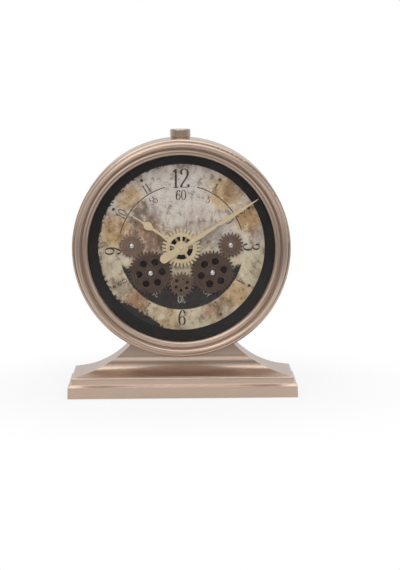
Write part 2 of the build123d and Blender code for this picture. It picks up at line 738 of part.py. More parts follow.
def dial_plate():
    """Printed dial board, drilled for the bushes, the gear posts and the bezel's screws."""
    plate = disc(DIAL_R, Z_DIAL_BACK, Z_DIAL)
    plate -= disc(BUSH_R + HOLE_GAP, Z_DIAL_BACK, Z_DIAL)
    plate -= disc(DRIVE_BUSH_R + HOLE_GAP, Z_DIAL_BACK, Z_DIAL, PINION_AT)
    for at in POSTS_AT:
        plate -= disc(GEAR_POST_R + RUN_GAP, Z_DIAL_BACK, Z_DIAL, at)
    for at in dial_screw_places():
        plate -= disc(SCREW_R + HOLE_GAP, Z_DIAL_BACK, Z_DIAL, at)
    return plate


# Train on the dial
def gear_posts():
    """Fixed posts that the dial's wheels turn on."""
    back = Z_DIAL_BACK - NUT_T - THREAD_TAIL
    return group(disc(GEAR_POST_R, back, Z_CAP + CAP_GRIP, at) for at in POSTS_AT)


def post_nuts():
    """Nuts behind the dial on the gear posts."""
    nuts = []
    for at in POSTS_AT:
        bore = disc(GEAR_POST_R + PRESS_GAP, Z_DIAL_BACK - NUT_T, Z_DIAL_BACK, at)
        nuts.append(hexagon(NUT_AF, Z_DIAL_BACK - NUT_T, Z_DIAL_BACK, at) - bore)
    return group(nuts)


def post_washers():
    """Spacing washers between dial and wheels."""
    bore = GEAR_POST_R + PRESS_GAP
    return group(ring(POST_WASHER_R, bore, Z_DIAL, Z_DIAL + POST_WASHER_T, at) for at in POSTS_AT)


def post_caps():
    """Bright dome caps on the posts."""
    cap = domed(CAP_R, CAP_H) - disc(GEAR_POST_R + PRESS_GAP, 0, CAP_GRIP + SEAT_GAP)
    return group(Pos(x, y, Z_CAP) * cap for x, y in POSTS_AT)


def dial_gear(teeth, phase, face_r):
    """Toothed plate with a raised, chamfered face, at the origin."""
    plate = extrude(wheel_outline(teeth, TRAIN_MODULE, phase, TRAIN_BACKLASH, 2), GEAR_T)
    face = disc(face_r, 0, GEAR_T + GEAR_FACE_T)
    return plate + chamfer(face.edges().group_by(Axis.Z)[-1], GEAR_CHAMFER)


def holes(count, radius, circle, phase):
    """Ring of holes through a dial gear."""
    pitch = 360 / count
    return [disc(radius, 0, GEAR_T + GEAR_FACE_T, polar(circle, phase + pitch * k)) for k in range(count)]


PINION_PHASE = 90.0
RIGHT_WHEEL_PHASE = meshed_phase(PINION_PHASE, PINION_TEETH, WHEEL_TEETH, WHEEL_BEARING)
LEFT_WHEEL_PHASE = meshed_phase(PINION_PHASE, PINION_TEETH, WHEEL_TEETH, 180 - WHEEL_BEARING)
RIGHT_IDLER_PHASE = meshed_phase(RIGHT_WHEEL_PHASE, WHEEL_TEETH, IDLER_TEETH, IDLER_BEARING)
LEFT_IDLER_PHASE = meshed_phase(LEFT_WHEEL_PHASE, WHEEL_TEETH, IDLER_TEETH, 180 - IDLER_BEARING)


def on_post(wheel, hub_r, at):
    """Wheel given its hub and running bore, and set on its post."""
    front = GEAR_T + GEAR_FACE_T + GEAR_HUB_H
    wheel += disc(hub_r, 0, front)
    wheel -= disc(GEAR_POST_R + RUN_GAP, 0, front)
    return Pos(at[0], at[1], Z_GEAR) * wheel


def large_wheel(phase, hole_phase, at):
    """Large wheel with six round holes and a turned hub."""
    wheel = dial_gear(WHEEL_TEETH, phase, WHEEL_FACE_R)
    for hole in holes(WHEEL_HOLES, WHEEL_HOLE_R, WHEEL_HOLE_CIRCLE, hole_phase):
        wheel -= hole
    return on_post(wheel, WHEEL_HUB_R, at)


def idler(phase, at):
    """Small plain idler."""
    return on_post(dial_gear(IDLER_TEETH, phase, SMALL_FACE_R), IDLER_HUB_R, at)


def drive_pinion():
    """Driving pinion, drilled with six small holes and pressed blind onto its shaft."""
    wheel = dial_gear(PINION_TEETH, PINION_PHASE, SMALL_FACE_R)
    for hole in holes(WHEEL_HOLES, PINION_HOLE_R, PINION_HOLE_CIRCLE, PINION_HOLE_PHASE):
        wheel -= hole
    wheel -= disc(DRIVE_SHAFT_R + PRESS_GAP, 0, GEAR_T)
    return Pos(PINION_AT[0], PINION_AT[1], Z_GEAR) * wheel


# Hands
def spoked(rim, spokes, phase):
    """Rim cleared to its inner edge, with a hub and evenly spaced spokes put back."""
    face = rim - Circle(HOUR_RIM_R) + Circle(HOUR_HUB_R)
    spoke_l = HOUR_RIM_R - HOUR_HUB_R + 2 * SPOKE_LAP
    spoke = Pos((HOUR_HUB_R + HOUR_RIM_R) / 2, 0) * Rectangle(spoke_l, HOUR_SPOKE_W)
    for k in range(spokes):
        face += Rot(0, 0, phase + 360 * k / spokes) * spoke
    return face


def hour_gear():
    """Open spoked wheel with long teeth that carries the hour hand."""
    rim = wheel_outline(HOUR_WHEEL_TEETH, HOUR_MODULE, 90, TRAIN_BACKLASH, 3, HOUR_DEDENDUM)
    face = spoked(rim, HOUR_SPOKES, 90) - Circle(PIPE_SEAT_R + PRESS_GAP)
    gear = Pos(0, 0, Z_HOUR_GEAR) * extrude(face, HOUR_GEAR_T)
    for at in rivet_places():
        gear -= disc(RIVET_R + PRESS_GAP, Z_HOUR_GEAR, Z_HOUR_HAND, at)
    return gear


def hour_back_wheel():
    """Plain spoked wheel behind the toothed one, with its spokes between the other's."""
    face = spoked(Circle(HOUR_ROOT_R), HOUR_BACK_SPOKES, 0) - Circle(PIPE_R + PRESS_GAP)
    wheel = Pos(0, 0, Z_HOUR_BACK) * extrude(face, HOUR_BACK_T)
    for at in rivet_places():
        wheel -= disc(RIVET_R + PRESS_GAP, Z_HOUR_BACK, Z_HOUR_GEAR, at)
    return wheel


HOUR_ROOT_R = HOUR_MODULE * (HOUR_WHEEL_TEETH / 2 - HOUR_DEDENDUM)
HOUR_FOOT_AT = (HOUR_RIM_R + HOUR_ROOT_R) / 2


def rivet_places():
    """Two rivets side by side on the rim, under the foot of the hour hand."""
    turn = 90 - HOUR_ANGLE
    spread = math.degrees(HOUR_FOOT_W / 4 / HOUR_FOOT_AT)
    return [polar(HOUR_FOOT_AT, turn + side * spread) for side in (-1, 1)]


def hour_hand():
    """Spade hand whose foot lies on the rim of the open wheel."""
    stem, spade, foot = HOUR_STEM_W / 2, HOUR_SPADE_W / 2, HOUR_FOOT_W / 2
    neck, tip = HOUR_NECK_W / 2, HAND_TIP_W / 2
    foot_low = HOUR_RIM_R
    eye = HOUR_EYE_W / 2
    shoulder = HOUR_SPADE_AT - HOUR_SPADE_W
    neck_at = HOUR_SPADE_AT + HOUR_SPADE_W
    side = Polyline((0, foot_low), (foot, foot_low), (foot, HOUR_FOOT_AT), (eye, HOUR_EYE_AT))
    side += Polyline((eye, HOUR_EYE_AT), (stem, HOUR_STEM_AT), (stem, shoulder))
    side += bulge((stem, shoulder), (spade, HOUR_SPADE_AT), (stem, HOUR_SPADE_AT))
    side += bulge((spade, HOUR_SPADE_AT), (neck, neck_at), (spade, neck_at))
    side += Polyline((neck, neck_at), (tip, HOUR_HAND_L), (0, HOUR_HAND_L), (0, foot_low))
    face = symmetric_face(side)
    face -= Pos(0, HOUR_EYE_AT) * Circle(HOUR_EYE_R)
    hand = Pos(0, 0, Z_HOUR_HAND) * extrude(Rot(0, 0, -HOUR_ANGLE) * face, HAND_T)
    for at in rivet_places():
        hand -= disc(RIVET_R + PRESS_GAP, Z_HOUR_HAND, Z_HOUR_HAND + HAND_T, at)
    return hand


def hour_rivets():
    """Rivets that hold the hour hand to the open wheel."""
    head_z = Z_HOUR_HAND + HAND_T
    pins = []
    for at in rivet_places():
        head = disc(RIVET_HEAD_R, head_z, head_z + RIVET_HEAD_H, at)
        pins.append(disc(RIVET_R, Z_HOUR_BACK, head_z, at) + head)
    return group(pins)


def minute_hand():
    """Long slender hand with a low spade and a flared counterweight, on a collet."""
    base, stem, spade, tip = MINUTE_BASE_W / 2, MINUTE_STEM_W / 2, MINUTE_SPADE_W / 2, HAND_TIP_W / 2
    tail, root = MINUTE_TAIL_W / 2, MINUTE_TAIL_ROOT_W / 2
    tail_round = -(MINUTE_TAIL_L - tail)
    side = bulge((0, -MINUTE_TAIL_L), (tail, tail_round), (0, tail_round))
    side += Polyline((tail, tail_round), (root, -MINUTE_HUB_R), (stem, 0), (base, MINUTE_BASE_AT))
    side += Line((base, MINUTE_BASE_AT), (stem, MINUTE_SHOULDER_AT))
    side += Polyline((stem, MINUTE_SHOULDER_AT), (spade, MINUTE_SPADE_AT), (tip, MINUTE_HAND_L))
    side += Polyline((tip, MINUTE_HAND_L), (0, MINUTE_HAND_L), (0, -MINUTE_TAIL_L))
    face = symmetric_face(side) + Circle(MINUTE_HUB_R)
    hand = Pos(0, 0, Z_MINUTE_HAND) * extrude(Rot(0, 0, -MINUTE_ANGLE) * face, HAND_T)
    hand += disc(COLLET_R, Z_MINUTE_HAND - HAND_GAP + SEAT_GAP, Z_MINUTE_HAND)
    return hand - disc(ARBOR_R + PRESS_GAP, Z_HOUR_HAND, Z_HAND_NUT)


def hand_nut():
    """Closed dome nut on the end of the minute arbor."""
    nut = domed(HAND_NUT_R, HAND_NUT_H) - disc(ARBOR_R + PRESS_GAP, 0, HAND_NUT_H / 2)
    return Pos(0, 0, Z_HAND_NUT) * nut


# Movement: motion work, stepping coil, cell and case
CANNON_PHASE = 90.0
MINUTE_WHEEL_PHASE = meshed_phase(CANNON_PHASE, CANNON_TEETH, MINUTE_WHEEL_TEETH, 90)
HOUR_WHEEL_PHASE = meshed_phase(MINUTE_WHEEL_PHASE, MINUTE_PINION_TEETH, HOUR_TEETH, -90)
SET_PHASE = meshed_phase(MINUTE_WHEEL_PHASE, MINUTE_WHEEL_TEETH, SET_TEETH, SET_BEARING)


def minute_arbor():
    """Minute arbor with its cannon pinion."""
    rod = disc(ARBOR_R, Z_LID + LAYER_T, Z_HAND_NUT + HAND_NUT_H / 2 - SEAT_GAP)
    return rod + spur(CANNON_TEETH, MOTION_MODULE, CANNON_PHASE, Z_LAYER_2, LAYER_T)


def hour_pipe():
    """Hour pipe with its wheel at the back and a stepped seat in front."""
    pipe = disc(PIPE_R, Z_LAYER_1, Z_HOUR_GEAR) + disc(PIPE_SEAT_R, Z_HOUR_GEAR, Z_HOUR_HAND)
    pipe += spur(HOUR_TEETH, MOTION_MODULE, HOUR_WHEEL_PHASE, Z_LAYER_1, LAYER_T)
    return pipe - disc(ARBOR_R + RUN_GAP, Z_LAYER_1, Z_HOUR_HAND)


def minute_wheel():
    """Intermediate wheel and pinion between minute arbor and hour pipe."""
    wheel = spur(MINUTE_WHEEL_TEETH, MOTION_MODULE, MINUTE_WHEEL_PHASE, Z_LAYER_2, LAYER_T, MINUTE_WHEEL_AT)
    pinion_t = LAYER_T + LAYER_GAP
    pinion_z = Z_LAYER_2 + LAYER_T
    at, phase = MINUTE_WHEEL_AT, MINUTE_WHEEL_PHASE
    wheel += spur(MINUTE_PINION_TEETH, MOTION_MODULE, phase, pinion_z, pinion_t, at)
    return wheel - disc(STUD_PIN_R + RUN_GAP, Z_LAYER_2, Z_WALL_IN, MINUTE_WHEEL_AT)


def set_knob():
    """Setting pinion, shaft and fluted thumb knob behind the movement."""
    back = Z_MODULE_BACK - STOP_GAP
    knob = disc(SET_KNOB_R, back - SET_KNOB_T, back, SET_AT)
    for k in range(SET_KNOB_FLUTES):
        at = polar(SET_KNOB_R + FLUTE_R / 2, 360 * k / SET_KNOB_FLUTES, SET_AT)
        knob -= disc(FLUTE_R, back - SET_KNOB_T, back, at)
    knob += disc(SET_SHAFT_R, back, Z_LAYER_2, SET_AT)
    knob += spur(SET_TEETH, MOTION_MODULE, SET_PHASE, Z_LAYER_2, LAYER_T, SET_AT)
    return knob + disc(SET_PIVOT_R, Z_LAYER_2 + LAYER_T, Z_WALL_IN - SEAT_GAP, SET_AT)


def module_case(top, bay, bore_at, bore_r):
    """Open-backed case with a front wall, a wall above the cell bay and a bore for its bush."""
    bottom = bay_floor(bay)
    case = slab(-MODULE_HALF, MODULE_HALF, bottom, top, Z_LID, Z_DIAL_BACK)
    inner = MODULE_HALF - MODULE_WALL
    case -= slab(-inner, inner, bay, top - MODULE_WALL, Z_LID, Z_WALL_IN)
    case -= slab(-inner, inner, bottom + MODULE_WALL, bay - MODULE_WALL, Z_LID, Z_WALL_IN)
    return case - disc(bore_r + HOLE_GAP, Z_WALL_IN, Z_DIAL_BACK, bore_at)


def bay_floor(bay):
    """Lowest outer wall of a cell bay under a given dividing wall."""
    return bay - 2 * MODULE_WALL - 2 * CELL_R - 2 * CELL_GAP


def movement_case():
    """Case of the movement with the minute wheel's stud and the setting pivot's boss."""
    case = module_case(MOVEMENT_TOP, MOVEMENT_BAY, (0, 0), BUSH_R)
    case += disc(STUD_PIN_R, Z_LAYER_2, Z_WALL_IN, MINUTE_WHEEL_AT)
    boss_z = Z_LAYER_2 + LAYER_T + GEAR_RUN_GAP
    return case + ring(SET_PIVOT_R + BOSS_WALL, SET_PIVOT_R + RUN_GAP, boss_z, Z_WALL_IN, SET_AT)


def module_lid(top, bay):
    """Flat lid over the works, leaving the cell bay open."""
    return slab(-MODULE_HALF, MODULE_HALF, bay - MODULE_WALL, top, Z_MODULE_BACK, Z_LID)


def movement_lid():
    """Lid with the arbor's bearing, the minute wheel's stop and the setting shaft's hole."""
    lid = module_lid(MOVEMENT_TOP, MOVEMENT_BAY)
    lid += ring(ARBOR_R + BOSS_WALL, ARBOR_R + RUN_GAP, Z_LID, Z_BOSS)
    lid += disc(STUD_PIN_R + BOSS_WALL / 2, Z_LID, Z_BOSS, MINUTE_WHEEL_AT)
    return lid - disc(SET_SHAFT_R + RUN_GAP, Z_MODULE_BACK, Z_LID, SET_AT)


def movement_bush():
    """Threaded bush through the dial, flanged inside the case."""
    bush = disc(BUSH_R, Z_WALL_IN, Z_DIAL + BUSH_REACH)
    bush += disc(BUSH_FLANGE_R, Z_WALL_IN - BUSH_FLANGE_T, Z_WALL_IN)
    return bush - disc(PIPE_R + RUN_GAP, Z_LID, Z_FRONT)


def movement_washer():
    """Broad black washer on the dial."""
    return ring(BLACK_WASHER_R, BUSH_R + HOLE_GAP, Z_DIAL, Z_DIAL + BLACK_WASHER_T)


def movement_nut():
    """Hexagon nut that clamps the movement to the dial."""
    seat = Z_DIAL + BLACK_WASHER_T
    return hexagon(BUSH_NUT_AF, seat, seat + BUSH_NUT_T) - disc(BUSH_R + PRESS_GAP, Z_DIAL, Z_FRONT)


def stepper_coil():
    """Wound coil on its flanged bobbin, beside the motion work."""
    x = -(HOUR_TIP_R + COIL_MARGIN + COIL_R)
    winding = disc(WINDING_R, -COIL_L / 2, COIL_L / 2)
    for side in (-1, 1):
        winding += disc(COIL_R, side * COIL_L / 2, side * (COIL_L / 2 - MODULE_WALL))
    return Pos(x, COIL_R, Z_WALL_IN - SEAT_GAP - COIL_R) * Rot(90, 0, 0) * winding


def cell(bay):
    """Round cell lying across a bay, its nub to the right."""
    y = bay - MODULE_WALL - CELL_GAP - CELL_R
    body = disc(CELL_R, -CELL_SPAN / 2, CELL_SPAN / 2 - CELL_NUB_L)
    body += disc(CELL_NUB_R, CELL_SPAN / 2 - CELL_NUB_L, CELL_SPAN / 2)
    return Pos(0, y, Z_CELL) * Rot(0, 90, 0) * body


def contacts(bay):
    """Two bowed leaf contacts at the ends of a cell."""
    y = bay - MODULE_WALL - CELL_GAP - CELL_R
    wall = MODULE_HALF - MODULE_WALL
    near = CELL_SPAN / 2 + SEAT_GAP

    def bow(end, crown):
        return ThreePointArc((end, -LEAF_REACH), (crown, 0), (end, LEAF_REACH))

    leaves = []
    for side in (-1, 1):
        outside, inside = side * wall, side * (wall - LEAF_T)
        ends = [Line((outside, e * LEAF_REACH), (inside, e * LEAF_REACH)) for e in (-1, 1)]
        bows = bow(outside, side * (near + LEAF_T)) + bow(inside, side * near)
        leaf = extrude(make_face(bows + ends[0] + ends[1]), LEAF_W / 2, both=True)
        leaves.append(Pos(0, y, Z_CELL) * Rot(90, 0, 0) * leaf)
    return group(leaves)


# Geared drive for the train on the dial
OUTPUT_PHASE = 90.0
REDUCTION_PHASE = meshed_phase(OUTPUT_PHASE, OUTPUT_TEETH, REDUCTION_PINION_TEETH, REDUCTION_BEARING)
MOTOR_PHASE = meshed_phase(REDUCTION_PHASE, REDUCTION_TEETH, MOTOR_PINION_TEETH, MOTOR_BEARING)


def drive_case():
    """Case of the geared drive, with the reduction wheel's stud."""
    case = module_case(DRIVE_TOP, DRIVE_BAY, PINION_AT, DRIVE_BUSH_R)
    return case + disc(STUD_PIN_R, Z_LAYER_2, Z_WALL_IN, REDUCTION_AT)


def drive_lid():
    """Lid with the shaft's bearing, the reduction wheel's stop and a nest for the motor."""
    lid = module_lid(DRIVE_TOP, DRIVE_BAY)
    lid += ring(DRIVE_SHAFT_R + BOSS_WALL, DRIVE_SHAFT_R + RUN_GAP, Z_LID, Z_BOSS, PINION_AT)
    lid += disc(STUD_PIN_R + BOSS_WALL / 2, Z_LID, Z_BOSS, REDUCTION_AT)
    nest_r = MOTOR_R + SEAT_GAP
    return lid + ring(nest_r + MODULE_WALL, nest_r, Z_LID, Z_LID + MOTOR_NEST, MOTOR_AT)


def drive_bush():
    """Bush of the driving shaft through the dial, flanged inside the case."""
    front = Z_DIAL + DRIVE_NUT_T
    bush = disc(DRIVE_BUSH_R, Z_WALL_IN, front, PINION_AT)
    bush += disc(BUSH_FLANGE_R, Z_WALL_IN - BUSH_FLANGE_T, Z_WALL_IN, PINION_AT)
    return bush - disc(DRIVE_SHAFT_R + RUN_GAP, Z_LID, Z_FRONT, PINION_AT)


def drive_nut():
    """Thin ring nut that clamps the drive to the dial."""
    return ring(DRIVE_NUT_R, DRIVE_BUSH_R + PRESS_GAP, Z_DIAL, Z_DIAL + DRIVE_NUT_T, PINION_AT)


def drive_shaft():
    """Driving shaft with its output wheel."""
    shaft = disc(DRIVE_SHAFT_R, Z_LID + LAYER_T, Z_GEAR + GEAR_T - SEAT_GAP, PINION_AT)
    return shaft + spur(OUTPUT_TEETH, MOTION_MODULE, OUTPUT_PHASE, Z_LAYER_1, LAYER_T, PINION_AT)


def reduction_gear():
    """Wheel and pinion between motor and driving shaft."""
    wheel = spur(REDUCTION_TEETH, MOTION_MODULE, REDUCTION_PHASE, Z_LAYER_2, LAYER_T, REDUCTION_AT)
    pinion_t = LAYER_T + LAYER_GAP
    pinion_z = Z_LAYER_2 + LAYER_T
    wheel += spur(REDUCTION_PINION_TEETH, MOTION_MODULE, REDUCTION_PHASE, pinion_z, pinion_t, REDUCTION_AT)
    return wheel - disc(STUD_PIN_R + RUN_GAP, Z_LAYER_2, Z_WALL_IN, REDUCTION_AT)


def drive_motor():
    """Flat motor can with a bearing boss in front."""
    front = Z_LAYER_2 - MOTOR_BOSS_H - STOP_GAP
    can = disc(MOTOR_R, Z_LID, front, MOTOR_AT)
    can = chamfer(can.edges().group_by(Axis.Z)[-1], MOTOR_CHAMFER)
    can += disc(MOTOR_BOSS_R, front, front + MOTOR_BOSS_H, MOTOR_AT)
    return can - disc(MOTOR_SHAFT_R + RUN_GAP, Z_CELL, Z_LAYER_2, MOTOR_AT)


def motor_pinion():
    """Motor pinion on its shaft."""
    pinion = spur(MOTOR_PINION_TEETH, MOTION_MODULE, MOTOR_PHASE, Z_LAYER_2, LAYER_T, MOTOR_AT)
    return pinion + disc(MOTOR_SHAFT_R, Z_CELL + SEAT_GAP, Z_LAYER_2, MOTOR_AT)


BASE_NODES = {
    "base_slab": base_slab,
    "base_step": base_step,
    "plinth_saddle": plinth_saddle,
    "bottom_plate": bottom_plate,
    "rubber_feet": rubber_feet,
    "bottom_plate_screws": bottom_plate_screws,
    "tie_bolts": tie_bolts,
    "tie_nuts": tie_nuts,
    "top_knob": top_knob,
    "knob_collar": knob_collar,
    "knob_stud": knob_stud,
    "knob_nut": knob_nut,
}

CLOCK_NODES = {
    "drum_shell": drum_shell,
    "back_cover": back_cover,
    "back_cover_screws": back_cover_screws,
    "carrier_ring": carrier_ring,
    "dial_screws": dial_screws,
    "bezel": bezel,
    "glass": glass,
    "glass_gasket": glass_gasket,
    "dial_surround": dial_surround,
    "dial_plate": dial_plate,
    "gear_posts": gear_posts,
    "post_nuts": post_nuts,
    "post_washers": post_washers,
    "post_caps": post_caps,
    "left_wheel": lambda: large_wheel(LEFT_WHEEL_PHASE, LEFT_HOLE_PHASE, LEFT_WHEEL_AT),
    "right_wheel": lambda: large_wheel(RIGHT_WHEEL_PHASE, RIGHT_HOLE_PHASE, RIGHT_WHEEL_AT),
    "left_idler": lambda: idler(LEFT_IDLER_PHASE, LEFT_IDLER_AT),
    "right_idler": lambda: idler(RIGHT_IDLER_PHASE, RIGHT_IDLER_AT),
    "drive_pinion": drive_pinion,
    "hour_gear": hour_gear,
    "hour_back_wheel": hour_back_wheel,
    "hour_hand": hour_hand,
    "hour_rivets": hour_rivets,
    "minute_hand": minute_hand,
    "hand_nut": hand_nut,
    "minute_arbor": minute_arbor,
    "hour_pipe": hour_pipe,
    "minute_wheel": minute_wheel,
    "set_knob": set_knob,
    "movement_case": movement_case,
    "movement_lid": movement_lid,
    "movement_bush": movement_bush,
    "movement_washer": movement_washer,
    "movement_nut": movement_nut,
    "stepper_coil": stepper_coil,
    "movement_cell": lambda: cell(MOVEMENT_BAY),
    "movement_contacts": lambda: contacts(MOVEMENT_BAY),
    "drive_case": drive_case,
    "drive_lid": drive_lid,
    "drive_bush": drive_bush,
    "drive_nut": drive_nut,
    "drive_shaft": drive_shaft,
    "reduction_gear": reduction_gear,
    "drive_motor": drive_motor,
    "motor_pinion": motor_pinion,
    "drive_cell": lambda: cell(DRIVE_BAY),
    "drive_contacts": lambda: contacts(DRIVE_BAY),
}


def main():
    """Write one file for each piece, in the part frame."""
    os.makedirs("parts", exist_ok=True)
    for name, make in BASE_NODES.items():
        export_step(make(), f"parts/{name}.step")
    for name, make in CLOCK_NODES.items():
        export_step(CLOCK * make(), f"parts/{name}.step")


main()
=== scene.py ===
"""Looks of a round table clock with an open gear train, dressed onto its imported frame.

Lengths are in metres, and in millimetres where a name ends in _mm.
X runs to the right, Y to the back and Z up.
"""

import logging
import math
from dataclasses import dataclass, field
from enum import Enum
from typing import Protocol

import bmesh
import bpy
import numpy as np
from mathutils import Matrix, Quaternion, Vector

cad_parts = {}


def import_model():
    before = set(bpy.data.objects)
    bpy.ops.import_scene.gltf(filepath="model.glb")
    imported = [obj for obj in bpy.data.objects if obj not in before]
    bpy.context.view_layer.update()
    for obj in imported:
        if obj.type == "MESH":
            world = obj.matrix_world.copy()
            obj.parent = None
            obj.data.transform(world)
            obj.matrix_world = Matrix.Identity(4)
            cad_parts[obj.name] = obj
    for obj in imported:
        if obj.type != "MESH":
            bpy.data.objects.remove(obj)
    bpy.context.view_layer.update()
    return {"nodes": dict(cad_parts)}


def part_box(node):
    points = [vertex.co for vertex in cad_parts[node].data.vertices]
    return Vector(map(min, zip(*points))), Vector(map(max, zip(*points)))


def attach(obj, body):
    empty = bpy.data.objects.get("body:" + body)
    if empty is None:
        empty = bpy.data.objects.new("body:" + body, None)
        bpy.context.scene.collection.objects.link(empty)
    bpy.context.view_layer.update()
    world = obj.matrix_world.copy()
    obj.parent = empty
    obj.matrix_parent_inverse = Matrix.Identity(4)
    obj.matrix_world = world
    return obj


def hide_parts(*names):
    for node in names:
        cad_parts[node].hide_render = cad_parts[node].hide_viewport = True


LOG = logging.getLogger("table_clock")

MM = 0.001

Colour = tuple[float, float, float]
Place = tuple[float, float, float]
Flat = tuple[float, float]
Knots = tuple[Flat, ...]
# A ramp is a smooth step: the readings at its two ends, and the results there where they aren't 0 and 1
Ramp = tuple[float, ...]
Socket = bpy.types.NodeSocket
Material = bpy.types.Material
Piece = bpy.types.Object
Patch = tuple[np.ndarray, np.ndarray]


def middle_mm(node: str) -> Place:
    """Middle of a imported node's box, in millimetres.

    Args:
        node: The node's name.

    Returns:
        The point.
    """
    low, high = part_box(node)
    return tuple((a + b) / (2 * MM) for a, b in zip(low, high))


def grid_faces(rows: int, columns: int, loop_rows: bool = False, loop_columns: bool = False) -> np.ndarray:
    """Four-sided faces of a grid of points.

    Each joins a point, the next in its row and the two beside them in the next row.

    Args:
        rows: Number of rows.
        columns: Number of points in a row.
        loop_rows: Whether the last row joins the first.
        loop_columns: Whether the last point of a row joins its first.

    Returns:
        The faces, four point numbers each.
    """
    row = np.arange(rows if loop_rows else rows - 1)[:, None]
    column = np.arange(columns if loop_columns else columns - 1)[None, :]
    here, ahead, beside = row * columns, (row + 1) % rows * columns, (column + 1) % columns
    return np.stack((here + column, here + beside, ahead + beside, ahead + column), axis=2).reshape(-1, 4)


class Mixed(Enum):
    """Kind of value that is mixed, with the Mix node's sockets for it: two inputs and the output."""

    FLOAT = (2, 3, 0)
    RGBA = (6, 7, 2)


class Bench:
    """Bench on which the nodes of one tree are laid out and wired."""

    def __init__(self, tree: bpy.types.NodeTree) -> None:
        """Keeps the tree that is worked on."""
        self.tree = tree

    def node(self, kind: str, **settings: object) -> bpy.types.Node:
        """Adds a node.

        Args:
            kind: The node's type name.
            settings: Properties to set on it.

        Returns:
            The new node.
        """
        made = self.tree.nodes.new(kind)
        for key, value in settings.items():
            setattr(made, key, value)
        return made

    def wire(self, source: object, target: Socket) -> None:
        """Links an output to an input, or sets the input to a plain value.

        Args:
            source: An output socket, a number, a vector or a colour.
            target: The input socket.
        """
        if isinstance(source, bpy.types.NodeSocket):
            self.tree.links.new(source, target)
        elif isinstance(source, tuple) and target.type == "RGBA":
            target.default_value = (*source, 1.0)
        else:
            target.default_value = source

    def put(self, made: bpy.types.Node, *values: object) -> bpy.types.Node:
        """Wires a node's inputs in their order.

        Args:
            made: The node.
            values: Values or outputs.

        Returns:
            The node.
        """
        for source, target in zip(values, made.inputs):
            self.wire(source, target)
        return made

    def fill(self, made: bpy.types.Node, **sockets: object) -> bpy.types.Node:
        """Wires a node's inputs by their names.

        Args:
            made: The node.
            sockets: Values or outputs by socket name, with underscores for spaces.

        Returns:
            The node.
        """
        for name, source in sockets.items():
            self.wire(source, made.inputs[name.replace("_", " ")])
        return made

    def calc(self, operation: str, *values: object) -> Socket:
        """Result of one Math operation on one to three numbers or outputs."""
        return self.put(self.node("ShaderNodeMath", operation=operation), *values).outputs[0]

    def split(self, vector: Socket) -> tuple[Socket, Socket, Socket]:
        """The three parts of a vector."""
        return tuple(self.put(self.node("ShaderNodeSeparateXYZ"), vector).outputs)

    def join(self, x: object, y: object, z: object) -> Socket:
        """A vector from its three parts."""
        return self.put(self.node("ShaderNodeCombineXYZ"), x, y, z).outputs[0]

    def length(self, x: Socket, y: Socket) -> Socket:
        """Distance of a flat point from the origin: the root of the summed squares."""
        return self.calc("SQRT", self.calc("MULTIPLY_ADD", x, x, self.calc("MULTIPLY", y, y)))

    def span(
        self, value: object, low: float, high: float, at_low: float = 0.0, at_high: float = 1.0
    ) -> Socket:
        """Smooth step of a value from one level to another.

        Args:
            value: What is read.
            low: The reading that gives at_low.
            high: The reading that gives at_high.
            at_low: The result at and beyond low.
            at_high: The result at and beyond high.

        Returns:
            The result.
        """
        made = self.node("ShaderNodeMapRange", interpolation_type="SMOOTHSTEP")
        return self.put(made, value, low, high, at_low, at_high).outputs["Result"]

    def mix(self, kind: Mixed, share: object, under: object, over: object) -> Socket:
        """Mixes two values.

        Args:
            kind: What they are.
            share: How much of the second there is, from 0 to 1.
            under: The first.
            over: The second.

        Returns:
            The result.
        """
        first, second, result = kind.value
        made = self.node("ShaderNodeMix", data_type=kind.name)
        for source, place in ((share, 0), (under, first), (over, second)):
            self.wire(source, made.inputs[place])
        return made.outputs[result]

    def between(self, share: object, first: object, second: object) -> Socket:
        """Number between two by a share from 0 to 1."""
        return self.mix(Mixed.FLOAT, share, first, second)

    def tint(self, share: object, under: object, over: object) -> Socket:
        """Colour over another by a share from 0 to 1."""
        return self.mix(Mixed.RGBA, share, under, over)

    def mirrored(self) -> Socket:
        """1 or more for what a shiny surface shows, also through glass, and 0 or less for other rays.

        Returns:
            The share.
        """
        path = self.node("ShaderNodeLightPath").outputs
        plain = self.calc("SUBTRACT", path["Is Glossy Ray"], path["Is Transmission Ray"])
        return self.calc("MAXIMUM", plain, path["Glossy Depth"])

    def seen(self) -> Socket:
        """1 for what the camera sees, plainly or through glass alone, and 0 or less for other rays.

        A transmitted ray loses one for each surface that has scattered it before.

        Returns:
            The share.
        """
        path = self.node("ShaderNodeLightPath").outputs
        scattered = self.calc("ADD", path["Diffuse Depth"], path["Glossy Depth"])
        through = self.calc("SUBTRACT", path["Is Transmission Ray"], scattered)
        return self.calc("MAXIMUM", path["Is Camera Ray"], through)


